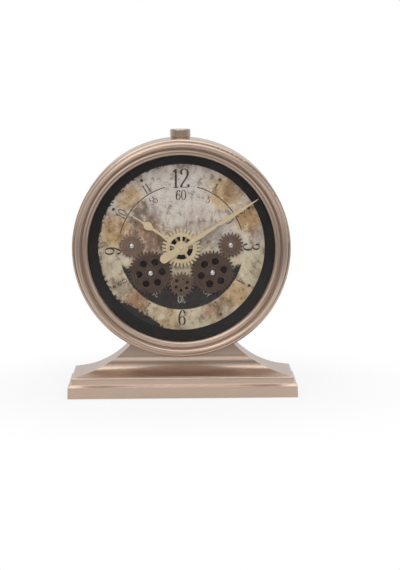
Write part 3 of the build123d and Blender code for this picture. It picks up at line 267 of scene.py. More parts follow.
class MaterialBench(Bench):
    """Bench for one material of the clock."""

    edge_samples: int = 4
    edge_turn: Ramp = (0.995, 0.86)

    def __init__(self, name: str) -> None:
        """Starts a material that has only its Principled shader.

        Args:
            name: The material's name.
        """
        self.material = bpy.data.materials.new(name)
        self.material.use_nodes = True
        super().__init__(self.material.node_tree)
        self.shader = self.tree.nodes["Principled BSDF"]

    def feed(self, **sockets: object) -> Material:
        """Feeds the Principled shader.

        Args:
            sockets: Values or outputs by socket name, with underscores for spaces.

        Returns:
            The material.
        """
        self.fill(self.shader, **sockets)
        return self.material

    def millimetres(self, centre_mm: Place = (0.0, 0.0, 0.0)) -> Socket:
        """Object coordinates in millimetres about a centre.

        Args:
            centre_mm: The point that becomes the origin.

        Returns:
            The vector.
        """
        shift = self.node("ShaderNodeMapping", vector_type="POINT")
        place = self.node("ShaderNodeTexCoord").outputs["Object"]
        self.fill(shift, Vector=place, Scale=(1 / MM,) * 3, Location=tuple(-c for c in centre_mm))
        return shift.outputs["Vector"]

    def noise(self, vector: Socket, scale: float, detail: float = 3.0, roughness: float = 0.55) -> Socket:
        """Cloudy noise from 0 to 1.

        Args:
            vector: Where it is read.
            scale: Clouds per unit of the vector.
            detail: Number of finer layers.
            roughness: Weight of the finer layers.

        Returns:
            The noise.
        """
        made = self.node("ShaderNodeTexNoise")
        return self.fill(made, Vector=vector, Scale=scale, Detail=detail, Roughness=roughness).outputs["Fac"]

    def cracks(self, vector: Socket, scale: float) -> Socket:
        """Distance from the nearest edge between random cells, 0 on the edge."""
        made = self.node("ShaderNodeTexVoronoi", feature="DISTANCE_TO_EDGE")
        return self.fill(made, Vector=vector, Scale=scale).outputs["Distance"]

    def bump(self, height: Socket, depth_mm: float) -> Socket:
        """Normal of a relief.

        Args:
            height: Relief from 0 to 1.
            depth_mm: Its full height.

        Returns:
            The normal.
        """
        made = self.node("ShaderNodeBump")
        return self.fill(made, Strength=1.0, Distance=depth_mm * MM, Height=height).outputs["Normal"]

    def edge(self, reach_mm: float) -> Socket:
        """Share from 0 on flats to 1 on edges, from how far a rounded normal turns away from the true one.

        Args:
            reach_mm: Radius of the rounding.

        Returns:
            The share.
        """
        rounded = self.fill(self.node("ShaderNodeBevel", samples=self.edge_samples), Radius=reach_mm * MM)
        true = self.node("ShaderNodeNewGeometry").outputs["Normal"]
        product = self.node("ShaderNodeVectorMath", operation="DOT_PRODUCT")
        turned = self.put(product, rounded.outputs[0], true)
        return self.span(turned.outputs["Value"], *self.edge_turn)


class Finish(Protocol):
    """Anything that makes a material."""

    def material(self) -> Material:
        """The finished material."""


class Grain(Enum):
    """Way in which the fine lines of a metal run."""

    TURNED = "rings about an axis along Y"
    UPRIGHT = "rings about a vertical axis"
    ACROSS = "lines along X"
    PLAIN = "no direction"


@dataclass(frozen=True)
class BrushedMetal:
    """Satin metal with fine lines, dull clouds and lighter edges, which are rubbed wear and also a painted
    highlight.
    """

    name: str
    colour: Colour
    dull: Colour
    rubbed: Colour
    grain: Grain = Grain.PLAIN
    centre_mm: Place = (0.0, 0.0, 0.0)
    metallic: float = 1.0
    roughness: float = 0.3
    lines_per_mm: float = 3.0
    line_depth_mm: float = 0.002
    line_share: float = 0.2
    line_rough: float = 0.04
    cloud_mm: float = 24.0
    cloud_share: float = 0.35
    cloud_rough: float = 0.06
    edge_mm: float = 0.6
    breaks_per_mm: float = 0.03
    breaks_per_radian: float = 3.0
    dull_lines: Ramp = (0.4, 0.75)
    dull_clouds: Ramp = (0.42, 0.7)
    rough_lines: Ramp = (0.3, 0.7)
    rough_clouds: Ramp = (0.35, 0.7)

    def lines(self, bench: MaterialBench, at: Socket) -> Socket:
        """Noise drawn out along the grain.

        Args:
            bench: The material's bench.
            at: Millimetres about the centre.

        Returns:
            The line pattern from 0 to 1.
        """
        x, y, z = bench.split(at)
        fine = self.lines_per_mm
        if self.grain is Grain.PLAIN:
            return bench.noise(at, fine, detail=2.0)
        if self.grain is Grain.ACROSS:
            along, first, second = bench.calc("MULTIPLY", x, self.breaks_per_mm), y, z
        else:
            flat, deep = (z, y) if self.grain is Grain.TURNED else (y, z)
            along = bench.calc("MULTIPLY", bench.calc("ARCTAN2", x, flat), self.breaks_per_radian)
            first, second = bench.length(x, flat), deep
        drawn = bench.join(along, bench.calc("MULTIPLY", first, fine), bench.calc("MULTIPLY", second, fine))
        return bench.noise(drawn, 1.0, roughness=0.6)

    def material(self) -> Material:
        """Builds the material.

        Returns:
            The finished material.
        """
        bench = MaterialBench(self.name)
        at = bench.millimetres(self.centre_mm)
        lines = self.lines(bench, at)
        clouds = bench.noise(at, 1 / self.cloud_mm, detail=4.0)
        clouded = bench.span(clouds, *self.dull_clouds, 0.0, self.cloud_share)
        colour = bench.tint(clouded, self.colour, self.dull)
        lined = bench.span(lines, *self.dull_lines, 0.0, self.line_share)
        colour = bench.tint(lined, colour, self.dull)
        # Lighter edges: rubbed wear, and also a painted highlight along every edge.
        colour = bench.tint(bench.edge(self.edge_mm), colour, self.rubbed)
        from_lines = bench.span(lines, *self.rough_lines, -self.line_rough, self.line_rough)
        from_clouds = bench.span(clouds, *self.rough_clouds, 0.0, self.cloud_rough)
        rough = bench.calc("ADD", from_lines, from_clouds)
        return bench.feed(
            Base_Color=colour,
            Metallic=self.metallic,
            Roughness=bench.calc("ADD", rough, self.roughness),
            Normal=bench.bump(lines, self.line_depth_mm),
        )


@dataclass(frozen=True)
class Moulded:
    """Dull moulded or coated surface with a fine texture and a little dust."""

    name: str
    colour: Colour
    dust: Colour
    roughness: float = 0.5
    texture_mm: float = 0.5
    texture_depth_mm: float = 0.03
    dust_share: float = 0.25
    specular: float = 0.5
    cloud_mm: float = 20.0
    dusty: Ramp = (0.45, 0.75)
    rough: Ramp = (0.3, 0.7)
    smoother: float = 0.08
    rougher: float = 0.1

    def material(self) -> Material:
        """Builds the material.

        Returns:
            The finished material.
        """
        bench = MaterialBench(self.name)
        at = bench.millimetres()
        clouds = bench.noise(at, 1 / self.cloud_mm, detail=4.0)
        smooth, rough = self.roughness - self.smoother, self.roughness + self.rougher
        dusted = bench.span(clouds, *self.dusty, 0.0, self.dust_share)
        return bench.feed(
            Base_Color=bench.tint(dusted, self.colour, self.dust),
            Roughness=bench.span(clouds, *self.rough, smooth, rough),
            Normal=bench.bump(bench.noise(at, 1 / self.texture_mm, detail=2.0), self.texture_depth_mm),
            Specular_IOR_Level=self.specular,
        )


@dataclass(frozen=True)
class ClearGlass:
    """Clear flat glass with the faintest smears."""

    name: str = "clear_glass"
    ior: float = 1.45
    smears_per_mm: float = 0.03
    smeared: Ramp = (0.4, 0.75, 0.0, 0.02)

    def material(self) -> Material:
        """Builds the material.

        Returns:
            The finished material.
        """
        bench = MaterialBench(self.name)
        smears = bench.noise(bench.millimetres(), self.smears_per_mm)
        return bench.feed(
            Base_Color=(1.0, 1.0, 1.0),
            Transmission_Weight=1.0,
            IOR=self.ior,
            Roughness=bench.span(smears, *self.smeared),
        )


@dataclass(frozen=True)
class CellSleeve:
    """Cell with a dark sleeve, a pale band towards its nub and bare steel ends."""

    name: str = "cell_sleeve"
    sleeve: Colour = (0.03, 0.045, 0.075)
    band: Colour = (0.42, 0.43, 0.44)
    worn: Colour = (0.2, 0.2, 0.2)
    steel: Colour = (0.55, 0.55, 0.56)
    band_edge_mm: Ramp = (8.95, 9.05)
    ends_edge_mm: Ramp = (23.55, 23.65)
    wear_per_mm: float = 0.3
    wearing: Ramp = (0.6, 0.8, 0.0, 0.3)
    metal: Ramp = (0.0, 1.0, 0.1, 0.9)
    rough: Ramp = (0.3, 0.7, 0.22, 0.38)
    coat: float = 0.3

    def material(self) -> Material:
        """Builds the material.

        Returns:
            The finished material.
        """
        bench = MaterialBench(self.name)
        at = bench.millimetres()
        x, _, _ = bench.split(at)
        wear = bench.noise(at, self.wear_per_mm, detail=4.0)
        bare = bench.span(bench.calc("ABSOLUTE", x), *self.ends_edge_mm)
        colour = bench.tint(bench.span(x, *self.band_edge_mm), self.sleeve, self.band)
        colour = bench.tint(bench.span(wear, *self.wearing), colour, self.worn)
        return bench.feed(
            Base_Color=bench.tint(bare, colour, self.steel),
            Metallic=bench.span(bare, *self.metal),
            Roughness=bench.span(wear, *self.rough),
            Coat_Weight=self.coat,
        )


@dataclass(frozen=True)
class WoundCoil:
    """Copper winding between black bobbin flanges, wound about a vertical axis, with painted shade in the
    grooves between turns.
    """

    centre_mm: Place
    name: str = "coil_winding"
    # Colour of the grooves between turns: painted shade.
    groove: Colour = (0.16, 0.06, 0.025)
    copper: Colour = (0.62, 0.28, 0.12)
    bobbin: Colour = (0.02, 0.02, 0.02)
    flange_edge_mm: Ramp = (10.78, 10.82)
    wire_mm: float = 0.35
    wire_depth_mm: float = 0.03
    metal: Ramp = (0.0, 1.0, 0.9, 0.0)
    clouds_per_mm: float = 0.4
    rough: Ramp = (0.3, 0.7, 0.28, 0.42)

    def material(self) -> Material:
        """Builds the material.

        Returns:
            The finished material.
        """
        bench = MaterialBench(self.name)
        at = bench.millimetres(self.centre_mm)
        _, _, z = bench.split(at)
        turns = bench.calc("SINE", bench.calc("MULTIPLY", z, 2 * math.pi / self.wire_mm))
        flange = bench.span(bench.calc("ABSOLUTE", z), *self.flange_edge_mm)
        winding = bench.tint(bench.span(turns, -1.0, 1.0), self.groove, self.copper)
        return bench.feed(
            Base_Color=bench.tint(flange, winding, self.bobbin),
            Metallic=bench.span(flange, *self.metal),
            Roughness=bench.span(bench.noise(at, self.clouds_per_mm), *self.rough),
            Normal=bench.bump(turns, self.wire_depth_mm),
        )


ASH = (0.47, 0.42, 0.375)
CREAM = (0.45, 0.38, 0.265)
CHALK = (0.60, 0.55, 0.47)
OCHRE = (0.41, 0.265, 0.115)
RUST = (0.25, 0.125, 0.065)
UMBER = (0.10, 0.06, 0.036)
SOOT = (0.019, 0.016, 0.015)
# Near black laid on the dial as painted shadow under the two large wheels.
SHADOW_BLACK = (0.006, 0.003, 0.002)
BOARD = (0.17, 0.115, 0.07)


@dataclass(frozen=True)
class Stain:
    """Soft patch on the dial, by its place and reach on the dial's face: most are stains, one is a painted
    shadow.
    """

    x_mm: float
    y_mm: float
    reach_mm: float
    colour: Colour
    strength: float


class DialBench(MaterialBench):
    """Bench for the dial, with the readings that its layers share: place, radius and several noises."""

    streak: float = 1.15
    noise_middle: float = 0.5

    def __init__(self, name: str, centre_mm: Place) -> None:
        """Takes the readings.

        Args:
            name: The material's name.
            centre_mm: The dial's middle.
        """
        super().__init__(name)
        at = self.millimetres(centre_mm)
        self.x, self.depth, self.y = self.split(at)
        self.radius = self.length(self.x, self.y)
        streaked = self.join(self.calc("MULTIPLY", self.x, self.streak), 0.0, self.y)
        self.broad = self.noise(at, scale=0.035, detail=5.0, roughness=0.6)
        self.mottle = self.noise(streaked, scale=0.085, detail=8.0, roughness=0.7)
        self.fibre = self.noise(at, scale=0.5, detail=5.0, roughness=0.7)
        self.specks = self.noise(at, scale=0.34, detail=3.0, roughness=0.6)
        ragged = self.noise(at, scale=0.17, detail=8.0, roughness=0.8)
        chips = self.noise(at, scale=0.28, detail=6.0, roughness=0.72)
        self.ragged, self.chips = (self.calc("SUBTRACT", kind, self.noise_middle) for kind in (ragged, chips))
        self.crack = self.cracks(at, scale=0.12)

    def near(self, x_mm: float, y_mm: float) -> Socket:
        """Distance in millimetres from a point of the face."""
        return self.length(self.calc("SUBTRACT", self.x, x_mm), self.calc("SUBTRACT", self.y, y_mm))


@dataclass(frozen=True)
class AgedDial:
    """Aged printed dial: mottled paper, stains, a dark crescent low down, a broken black border, and painted
    shadows under the large wheels and round the middle.
    """

    centre_mm: Place
    wheels_mm: tuple[Flat, ...]
    name: str = "aged_dial"
    # Reach of the painted shadow under each large wheel.
    wheel_edge_mm: Ramp = (25.5, 21.5)
    ring_edge_mm: Ramp = (77.1, 75.9)
    ring_ragged_mm: float = 2.5
    crescent_y_mm: float = 122.0
    crescent_edge_mm: Ramp = (157.0, 162.0)
    crescent_ragged_mm: float = 20.0
    crescent_worn: Ramp = (0.25, 0.45, 0.8, 1.0)
    border_edge_mm: Ramp = (102.5, 103.7)
    border_left_mm: Ramp = (0.0, -75.0, 0.0, 2.0)
    border_bite_mm: float = 26.0
    bite_left: Ramp = (40.0, -40.0, 0.25, 1.0)
    corner_mm: Flat = (-50.0, -84.0)
    corner_thick_mm: Ramp = (42.0, 8.0, 0.0, 9.0)
    ashen_clouds_mm: float = 150.0
    ashen_mm: Ramp = (40.0, 120.0)
    # Raggedness and edge of every soft patch, the stains and the painted shadow alike.
    stain_ragged: float = 2.4
    stain_edge: Ramp = (1.1, 0.45)
    chalky: Ramp = (0.47, 0.38, 0.0, 0.5)
    mottled: Ramp = (0.515, 0.62, 0.0, 0.65)
    fibrous: Ramp = (0.53, 0.66, 0.0, 0.24)
    flecks: tuple[Ramp, Ramp] = ((0.65, 0.72), (0.47, 0.6, 0.25, 1.0))
    # Darker towards the rim of the dial, in broad clouds.
    grime: tuple[Ramp, Ramp] = ((78.0, 102.0), (0.4, 0.65, 0.1, 0.55))
    cracks: tuple[Ramp, Ramp] = ((0.03, 0.0), (0.5, 0.62, 0.0, 0.5))
    board_grain: Ramp = (0.4, 0.62)
    print_depth_mm: Ramp = (0.1, 0.2)
    rough: Ramp = (0.3, 0.7, 0.55, 0.8)
    relief_mm: float = 0.05
    stains: tuple[Stain, ...] = (
        Stain(54.0, 68.0, 27.0, OCHRE, 0.85),
        Stain(62.0, 66.0, 15.0, RUST, 0.45),
        Stain(83.0, 35.0, 23.0, OCHRE, 0.95),
        Stain(82.0, 33.0, 14.0, RUST, 0.5),
        Stain(-80.0, 20.0, 27.0, OCHRE, 0.9),
        Stain(-76.0, 22.0, 12.0, RUST, 0.4),
        Stain(-63.0, 62.0, 21.0, OCHRE, 0.75),
        Stain(65.0, -60.0, 25.0, OCHRE, 0.7),
        Stain(36.0, -76.0, 15.0, RUST, 0.7),
        Stain(52.0, -70.0, 15.0, UMBER, 0.5),
        Stain(-19.0, -88.0, 22.0, OCHRE, 0.45),
        Stain(-55.0, -66.0, 19.0, RUST, 0.85),
        Stain(-72.0, -48.0, 14.0, UMBER, 0.45),
        Stain(-45.0, 35.0, 24.0, UMBER, 0.65),
        Stain(-38.0, 12.0, 27.0, RUST, 0.75),
        Stain(-34.0, 6.0, 16.0, UMBER, 0.5),
        Stain(-52.0, 46.0, 13.0, UMBER, 0.5),
        Stain(36.0, 13.0, 20.0, UMBER, 0.4),
        Stain(20.0, 34.0, 18.0, RUST, 0.25),
        # Not a stain: painted shadow of the gold hour wheel on the dial, round the middle.
        Stain(0.0, 0.0, 30.0, UMBER, 0.7),
    )

    def paper(self, bench: DialBench) -> Socket:
        """Paper with its stains, a painted shadow round the middle, mottling, flecks, darkening towards the
        rim and cracks.

        The last three show where the broad clouds let them.

        Args:
            bench: The dial's bench.

        Returns:
            Its colour.
        """
        height = bench.calc("MULTIPLY_ADD", bench.broad, self.ashen_clouds_mm, bench.y)
        paper = bench.tint(bench.span(height, *self.ashen_mm), CREAM, ASH)
        for soft_patch in self.stains:
            off = bench.calc("DIVIDE", bench.near(soft_patch.x_mm, soft_patch.y_mm), soft_patch.reach_mm)
            off = bench.calc("MULTIPLY_ADD", bench.ragged, self.stain_ragged, off)
            paper = bench.tint(bench.span(off, *self.stain_edge, 0.0, soft_patch.strength), paper, soft_patch.colour)
        paper = bench.tint(bench.span(bench.mottle, *self.chalky), paper, CHALK)
        paper = bench.tint(bench.span(bench.mottle, *self.mottled), paper, UMBER)
        paper = bench.tint(bench.span(bench.fibre, *self.fibrous), paper, UMBER)
        for reading, (ramp, clouded), colour in (
            (bench.specks, self.flecks, SOOT),
            (bench.radius, self.grime, UMBER),
            (bench.crack, self.cracks, SOOT),
        ):
            share = bench.calc("MULTIPLY", bench.span(reading, *ramp), bench.span(bench.broad, *clouded))
            paper = bench.tint(share, paper, colour)
        return paper

    def crescent(self, bench: DialBench) -> Socket:
        """Share of the dark crescent: inside the printed ring and outside a larger circle set high above it.

        Args:
            bench: The dial's bench.

        Returns:
            The share from 0 to 1.
        """
        high = bench.near(0.0, self.crescent_y_mm)
        high = bench.calc("MULTIPLY_ADD", bench.ragged, self.crescent_ragged_mm, high)
        ring = bench.calc("MULTIPLY_ADD", bench.ragged, self.ring_ragged_mm, bench.radius)
        low = bench.span(high, *self.crescent_edge_mm)
        share = bench.calc("MULTIPLY", low, bench.span(ring, *self.ring_edge_mm))
        return bench.calc("MULTIPLY", share, bench.span(bench.fibre, *self.crescent_worn))

    def shade(self, bench: DialBench) -> Socket:
        """Share of the painted shadow under the two large wheels, from 0 to 1."""
        left, right = (bench.span(bench.near(*at), *self.wheel_edge_mm) for at in self.wheels_mm)
        return bench.calc("MAXIMUM", left, right)

    def border(self, bench: DialBench) -> Socket:
        """Share of the broken black border, thicker towards the left and one corner.

        Args:
            bench: The dial's bench.

        Returns:
            The share from 0 to 1.
        """
        corner = bench.near(*self.corner_mm)
        out = bench.calc("ADD", bench.radius, bench.span(corner, *self.corner_thick_mm))
        out = bench.calc("ADD", out, bench.span(bench.x, *self.border_left_mm))
        bite = bench.calc("MULTIPLY", bench.chips, bench.span(bench.x, *self.bite_left))
        out = bench.calc("MULTIPLY_ADD", bite, self.border_bite_mm, out)
        return bench.span(out, *self.border_edge_mm)

    def material(self) -> Material:
        """Builds the material.

        Returns:
            The finished material.
        """
        bench = DialBench(self.name, self.centre_mm)
        colour = bench.tint(self.crescent(bench), self.paper(bench), SOOT)
        # Painted shadow of the two large wheels on the dial.
        colour = bench.tint(self.shade(bench), colour, SHADOW_BLACK)
        colour = bench.tint(self.border(bench), colour, SOOT)
        board = bench.tint(bench.span(bench.fibre, *self.board_grain), BOARD, UMBER)
        return bench.feed(
            Base_Color=bench.tint(bench.span(bench.depth, *self.print_depth_mm), colour, board),
            Roughness=bench.span(bench.mottle, *self.rough),
            Normal=bench.bump(bench.calc("ADD", bench.mottle, bench.fibre), self.relief_mm),
        )


@dataclass(frozen=True)
class WornInk:
    """Printed ink that has worn through in places."""

    name: str
    ink: Colour
    worn: Colour
    wearing: Ramp = (0.52, 0.66)
    wear_per_mm: float = 0.55
    rough: Ramp = (0.3, 0.7, 0.5, 0.75)

    def material(self) -> Material:
        """Builds the material.

        Returns:
            The finished material.
        """
        bench = MaterialBench(self.name)
        wear = bench.noise(bench.millimetres(), self.wear_per_mm, detail=5.0, roughness=0.7)
        return bench.feed(
            Base_Color=bench.tint(bench.span(wear, *self.wearing), self.ink, self.worn),
            Roughness=bench.span(wear, *self.rough),
        )


@dataclass(frozen=True)
class Face:
    """Flat face that marks are laid on: its middle, its right, up and outward directions."""

    middle: Place
    right: Place
    up: Place
    out: Place

    def lay(self, flat: np.ndarray, height: np.ndarray) -> np.ndarray:
        """Points of the face in the part's frame.

        Each point is the middle plus its first number along right, its second along up and its height
        along out.

        Args:
            flat: Places on the face, two numbers each.
            height: Height of each over the face.

        Returns:
            The points, three numbers each.
        """
        right, up, out = (np.asarray(v) for v in (self.right, self.up, self.out))
        return np.asarray(self.middle) + flat[:, :1] * right + flat[:, 1:] * up + height[:, None] * out


@dataclass(frozen=True)
class Pen:
    """Draws flat strokes of printed or moulded marks as thin raised ribbons."""

    face: Face
    rise: float
    sink: float

    @staticmethod
    def smooth(knots: np.ndarray, closed: bool, steps: int = 9) -> np.ndarray:
        """Points on a Catmull-Rom curve through the knots.

        Between two knots the point is the cubic whose slope at each knot is half the chord of its neighbours.

        Args:
            knots: The knots, two numbers each.
            closed: Whether the last knot joins the first.
            steps: Points for each stretch.

        Returns:
            The points, two numbers each.
        """
        if closed:
            padded = np.vstack((knots[-1:], knots, knots[:2]))
        else:
            padded = np.vstack((2 * knots[:1] - knots[1:2], knots, 2 * knots[-1:] - knots[-2:-1]))
        a, b, c, d = (padded[k : len(padded) - 3 + k][:, None] for k in range(4))
        t = (np.arange(steps) / steps)[None, :, None]
        cubic = 2 * b + (c - a) * t + (2 * a - 5 * b + 4 * c - d) * t**2 + (3 * b - a - 3 * c + d) * t**3
        points = cubic.reshape(-1, 2) / 2
        return points if closed else np.vstack((points, knots[-1:]))

    def ribbon(self, points: np.ndarray, half: np.ndarray, closed: bool) -> Patch:
        """Ribbon of rectangular section along a flat path.

        Its two edges stand off the path by the half width along the path's normal, at the foot and at
        the top.

        Args:
            points: The path, two numbers each.
            half: Half width at each point.
            closed: Whether the path is a loop.

        Returns:
            Points and four-sided faces.
        """
        if closed:
            along = np.roll(points, -1, axis=0) - np.roll(points, 1, axis=0)
        else:
            along = np.gradient(points, axis=0)
        along /= np.linalg.norm(along, axis=1, keepdims=True)
        off = np.column_stack((-along[:, 1], along[:, 0])) * half[:, None]
        count = len(points)
        high, low = np.full(count, self.rise), np.full(count, -self.sink)
        corners = ((points + off, high), (points - off, high), (points - off, low), (points + off, low))
        verts = np.stack([self.face.lay(flat, height) for flat, height in corners], axis=1).reshape(-1, 3)
        sides = np.arange(len(corners))
        quads = grid_faces(count, len(sides), closed, True)
        if not closed:
            quads = np.vstack((quads, sides[::-1], sides + (count - 1) * len(sides)))
        return verts, quads

    def spot(self, middle: np.ndarray, radius: float, spokes: int = 20) -> Patch:
        """Round spot with a level top and a straight side, closed at its middle.

        Rings at no, full and full radius are carried round a circle, the last one at the foot.

        Args:
            middle: Its place on the face.
            radius: Its radius.
            spokes: Points round it.

        Returns:
            Points and four-sided faces.
        """
        angle = -np.arange(spokes) * 2 * math.pi / spokes
        circle = np.column_stack((np.cos(angle), np.sin(angle)))
        reach = np.array((0.0, radius, radius))[:, None, None]
        flat = (middle + reach * circle).reshape(-1, 2)
        height = np.repeat((self.rise, self.rise, -self.sink), spokes)
        return self.face.lay(flat, height), grid_faces(len(reach), spokes, False, True)


def add_piece(name: str, patches: list[Patch], material: Material) -> Piece:
    """Adds one object of several patches, riding on the case.

    Args:
        name: The object's name.
        patches: Points and faces of each patch.
        material: Its material.

    Returns:
        The object.
    """
    starts = np.cumsum([0] + [len(verts) for verts, _ in patches[:-1]])
    verts = np.vstack([verts for verts, _ in patches])
    quads = np.vstack([quads + start for (_, quads), start in zip(patches, starts)])
    mesh = bpy.data.meshes.new(name)
    mesh.from_pydata(verts.tolist(), [], quads.tolist())
    mesh.validate()
    mesh.materials.append(material)
    made = bpy.data.objects.new(name, mesh)
    bpy.context.scene.collection.objects.link(made)
    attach(made, "case")
    LOG.info("piece %s: %d faces", name, len(mesh.polygons))
    return made


@dataclass(frozen=True)
class Glyph:
    """Numeral of height 1: its width, the knots of its open strokes and of its loops, and its round ends."""

    width: float
    strokes: tuple[Knots, ...] = ()
    loops: tuple[Knots, ...] = ()
    balls: Knots = ()


GLYPHS = {
    "0": Glyph(0.46, loops=(
        ((0.23, 1.0), (0.05, 0.78), (0.03, 0.5), (0.05, 0.22),
         (0.23, 0.0), (0.41, 0.22), (0.43, 0.5), (0.41, 0.78)),
    )),
    "1": Glyph(0.3, strokes=(
        ((0.16, 0.0), (0.16, 1.0)),
        ((0.16, 0.97), (0.03, 0.84)),
        ((0.02, 0.01), (0.3, 0.01)),
    )),
    "2": Glyph(0.46, strokes=(
        ((0.05, 0.74), (0.08, 0.92), (0.22, 1.0), (0.38, 0.92),
         (0.41, 0.72), (0.3, 0.48), (0.13, 0.22), (0.03, 0.02)),
        ((0.03, 0.03), (0.42, 0.03), (0.44, 0.17)),
    ), balls=((0.07, 0.75),)),
    "3": Glyph(0.46, strokes=(
        ((0.05, 0.8), (0.1, 0.96), (0.22, 1.0), (0.36, 0.91), (0.37, 0.72), (0.28, 0.58), (0.16, 0.54)),
        ((0.16, 0.54), (0.34, 0.49), (0.42, 0.3), (0.37, 0.09), (0.22, 0.0), (0.09, 0.05), (0.04, 0.2)),
    ), balls=((0.07, 0.81), (0.06, 0.19))),
    "4": Glyph(0.48, strokes=(
        ((0.33, 0.0), (0.33, 1.0)),
        ((0.33, 0.99), (0.02, 0.28)),
        ((0.02, 0.28), (0.47, 0.28)),
        ((0.22, 0.01), (0.44, 0.01)),
    )),
    "5": Glyph(0.45, strokes=(
        ((0.09, 0.97), (0.41, 0.97)),
        ((0.09, 0.98), (0.07, 0.52)),
        ((0.07, 0.53), (0.2, 0.62), (0.36, 0.53), (0.42, 0.31),
         (0.36, 0.09), (0.2, 0.0), (0.07, 0.06), (0.04, 0.18)),
    ), balls=((0.06, 0.17),)),
    "6": Glyph(0.46, strokes=(
        ((0.4, 0.84), (0.34, 0.97), (0.21, 0.96), (0.08, 0.7), (0.04, 0.36), (0.1, 0.08), (0.23, 0.0),
         (0.37, 0.09), (0.42, 0.29), (0.37, 0.49), (0.23, 0.57), (0.1, 0.46), (0.05, 0.33)),
    ), balls=((0.39, 0.83),)),
    "7": Glyph(0.45, strokes=(
        ((0.03, 0.82), (0.04, 0.97)),
        ((0.04, 0.96), (0.43, 0.96)),
        ((0.43, 0.96), (0.27, 0.5), (0.19, 0.0)),
    )),
    "8": Glyph(0.46, loops=(
        ((0.23, 0.54), (0.09, 0.67), (0.09, 0.88), (0.23, 1.0), (0.37, 0.88), (0.37, 0.67)),
        ((0.23, 0.54), (0.06, 0.39), (0.06, 0.12), (0.23, 0.0), (0.4, 0.12), (0.4, 0.39)),
    )),
    "9": Glyph(0.46, strokes=(
        ((0.06, 0.16), (0.12, 0.03), (0.25, 0.04), (0.38, 0.3), (0.42, 0.64), (0.36, 0.92), (0.23, 1.0),
         (0.09, 0.91), (0.04, 0.71), (0.09, 0.51), (0.23, 0.43), (0.36, 0.54), (0.41, 0.67)),
    ), balls=((0.07, 0.17),)),
    "+": Glyph(0.5, strokes=(((0.0, 0.5), (0.5, 0.5)), ((0.25, 0.25), (0.25, 0.75)))),
    "-": Glyph(0.5, strokes=(((0.0, 0.5), (0.5, 0.5)),)),
}


@dataclass(frozen=True)
class Lettering:
    """Numerals drawn with a pen that is thick upright and thin across."""

    pen: Pen
    thick: float = 0.12
    thin: float = 0.045
    ball: float = 0.06
    gap: float = 0.09
    least: float = 1e-9

    def word(self, text: str, height: float, middle: Flat, lean: float) -> list[Patch]:
        """Strokes of a short number set about a point.

        A stroke's half width goes from thin to thick with the upright share of its direction.

        Args:
            text: The number.
            height: Its height.
            middle: Its middle on the face.
            lean: Clockwise turn from upright, in degrees.

        Returns:
            The patches.
        """
        glyphs = [GLYPHS[mark] for mark in text]
        total = sum(glyph.width for glyph in glyphs) + self.gap * (len(glyphs) - 1)
        cos, sin = math.cos(math.radians(lean)), math.sin(math.radians(lean))
        turn = height * np.array(((cos, -sin), (sin, cos)))
        start = -total / 2
        patches: list[Patch] = []
        for glyph in glyphs:
            shift = np.array((start, -0.5))
            lines = [(knots, False) for knots in glyph.strokes] + [(knots, True) for knots in glyph.loops]
            for knots, closed in lines:
                points = Pen.smooth(np.array(knots), closed)
                slope = np.gradient(points, axis=0)
                upright = np.abs(slope[:, 1]) / np.maximum(np.linalg.norm(slope, axis=1), self.least)
                half = (self.thin + (self.thick - self.thin) * upright**2) * height / 2
                patches.append(self.pen.ribbon((points + shift) @ turn + middle, half, closed))
            for ball in glyph.balls:
                patches.append(self.pen.spot((np.array(ball) + shift) @ turn + middle, self.ball * height))
            start += glyph.width + self.gap
        return patches


PLATED = BrushedMetal(
    "plated_steel", colour=(0.56, 0.56, 0.57), dull=(0.4, 0.4, 0.4), rubbed=(0.7, 0.7, 0.7), roughness=0.28
)
TURNED_BRASS = BrushedMetal(
    "turned_brass", colour=(0.70, 0.52, 0.24), dull=(0.5, 0.34, 0.14), rubbed=(0.8, 0.65, 0.36),
    grain=Grain.TURNED,
)
COATED = Moulded(
    "coated_black", colour=(0.022, 0.021, 0.02), dust=(0.06, 0.055, 0.05),
    roughness=0.55, texture_mm=0.8, texture_depth_mm=0.06,
)
BLACK_PLASTIC = Moulded(
    "black_plastic", colour=(0.02, 0.02, 0.021), dust=(0.06, 0.06, 0.06),
    roughness=0.48, texture_mm=0.35, texture_depth_mm=0.02,
)
NATURAL_PLASTIC = Moulded(
    "natural_plastic", colour=(0.72, 0.7, 0.63), dust=(0.5, 0.47, 0.4),
    roughness=0.45, texture_mm=0.6, texture_depth_mm=0.01,
)
RUBBER = Moulded(
    "rubber", colour=(0.018, 0.018, 0.018), dust=(0.05, 0.05, 0.05),
    roughness=0.8, texture_mm=0.4, texture_depth_mm=0.05,
)
BLACK_RING = Moulded(
    "black_ring", colour=(0.008, 0.007, 0.0065), dust=(0.022, 0.014, 0.011),
    roughness=0.42, texture_mm=0.9, texture_depth_mm=0.015, specular=0.25,
)


def bronze(name: str, grain: Grain, centre_mm: Place, roughness: float) -> BrushedMetal:
    """Rose bronze of the case.

    Args:
        name: The material's name.
        grain: Way of its lines.
        centre_mm: Middle of its rings.
        roughness: How satin it is.

    Returns:
        The finish.
    """
    return BrushedMetal(
        name, colour=(0.54, 0.412, 0.328), dull=(0.42, 0.305, 0.235), rubbed=(0.68, 0.55, 0.455),
        grain=grain, centre_mm=centre_mm, metallic=0.9, roughness=roughness,
        line_depth_mm=0.0002, line_share=0.04, line_rough=0.01,
        cloud_mm=60.0, cloud_share=0.06, cloud_rough=0.015,
    )


@dataclass
class SubAssembly:
    """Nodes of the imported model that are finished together."""

    nodes: dict[str, Piece]

    def finish(self, finish: Finish, *names: str) -> None:
        """Gives one finish to several nodes.

        Args:
            finish: What makes the material.
            names: The nodes.
        """
        material = finish.material()
        for name in names:
            node = self.nodes[name]
            if not node.data.materials:
                node.data.materials.append(material)
            for slot in node.material_slots:
                slot.material = material
            LOG.info("node %s: %s", name, material.name)


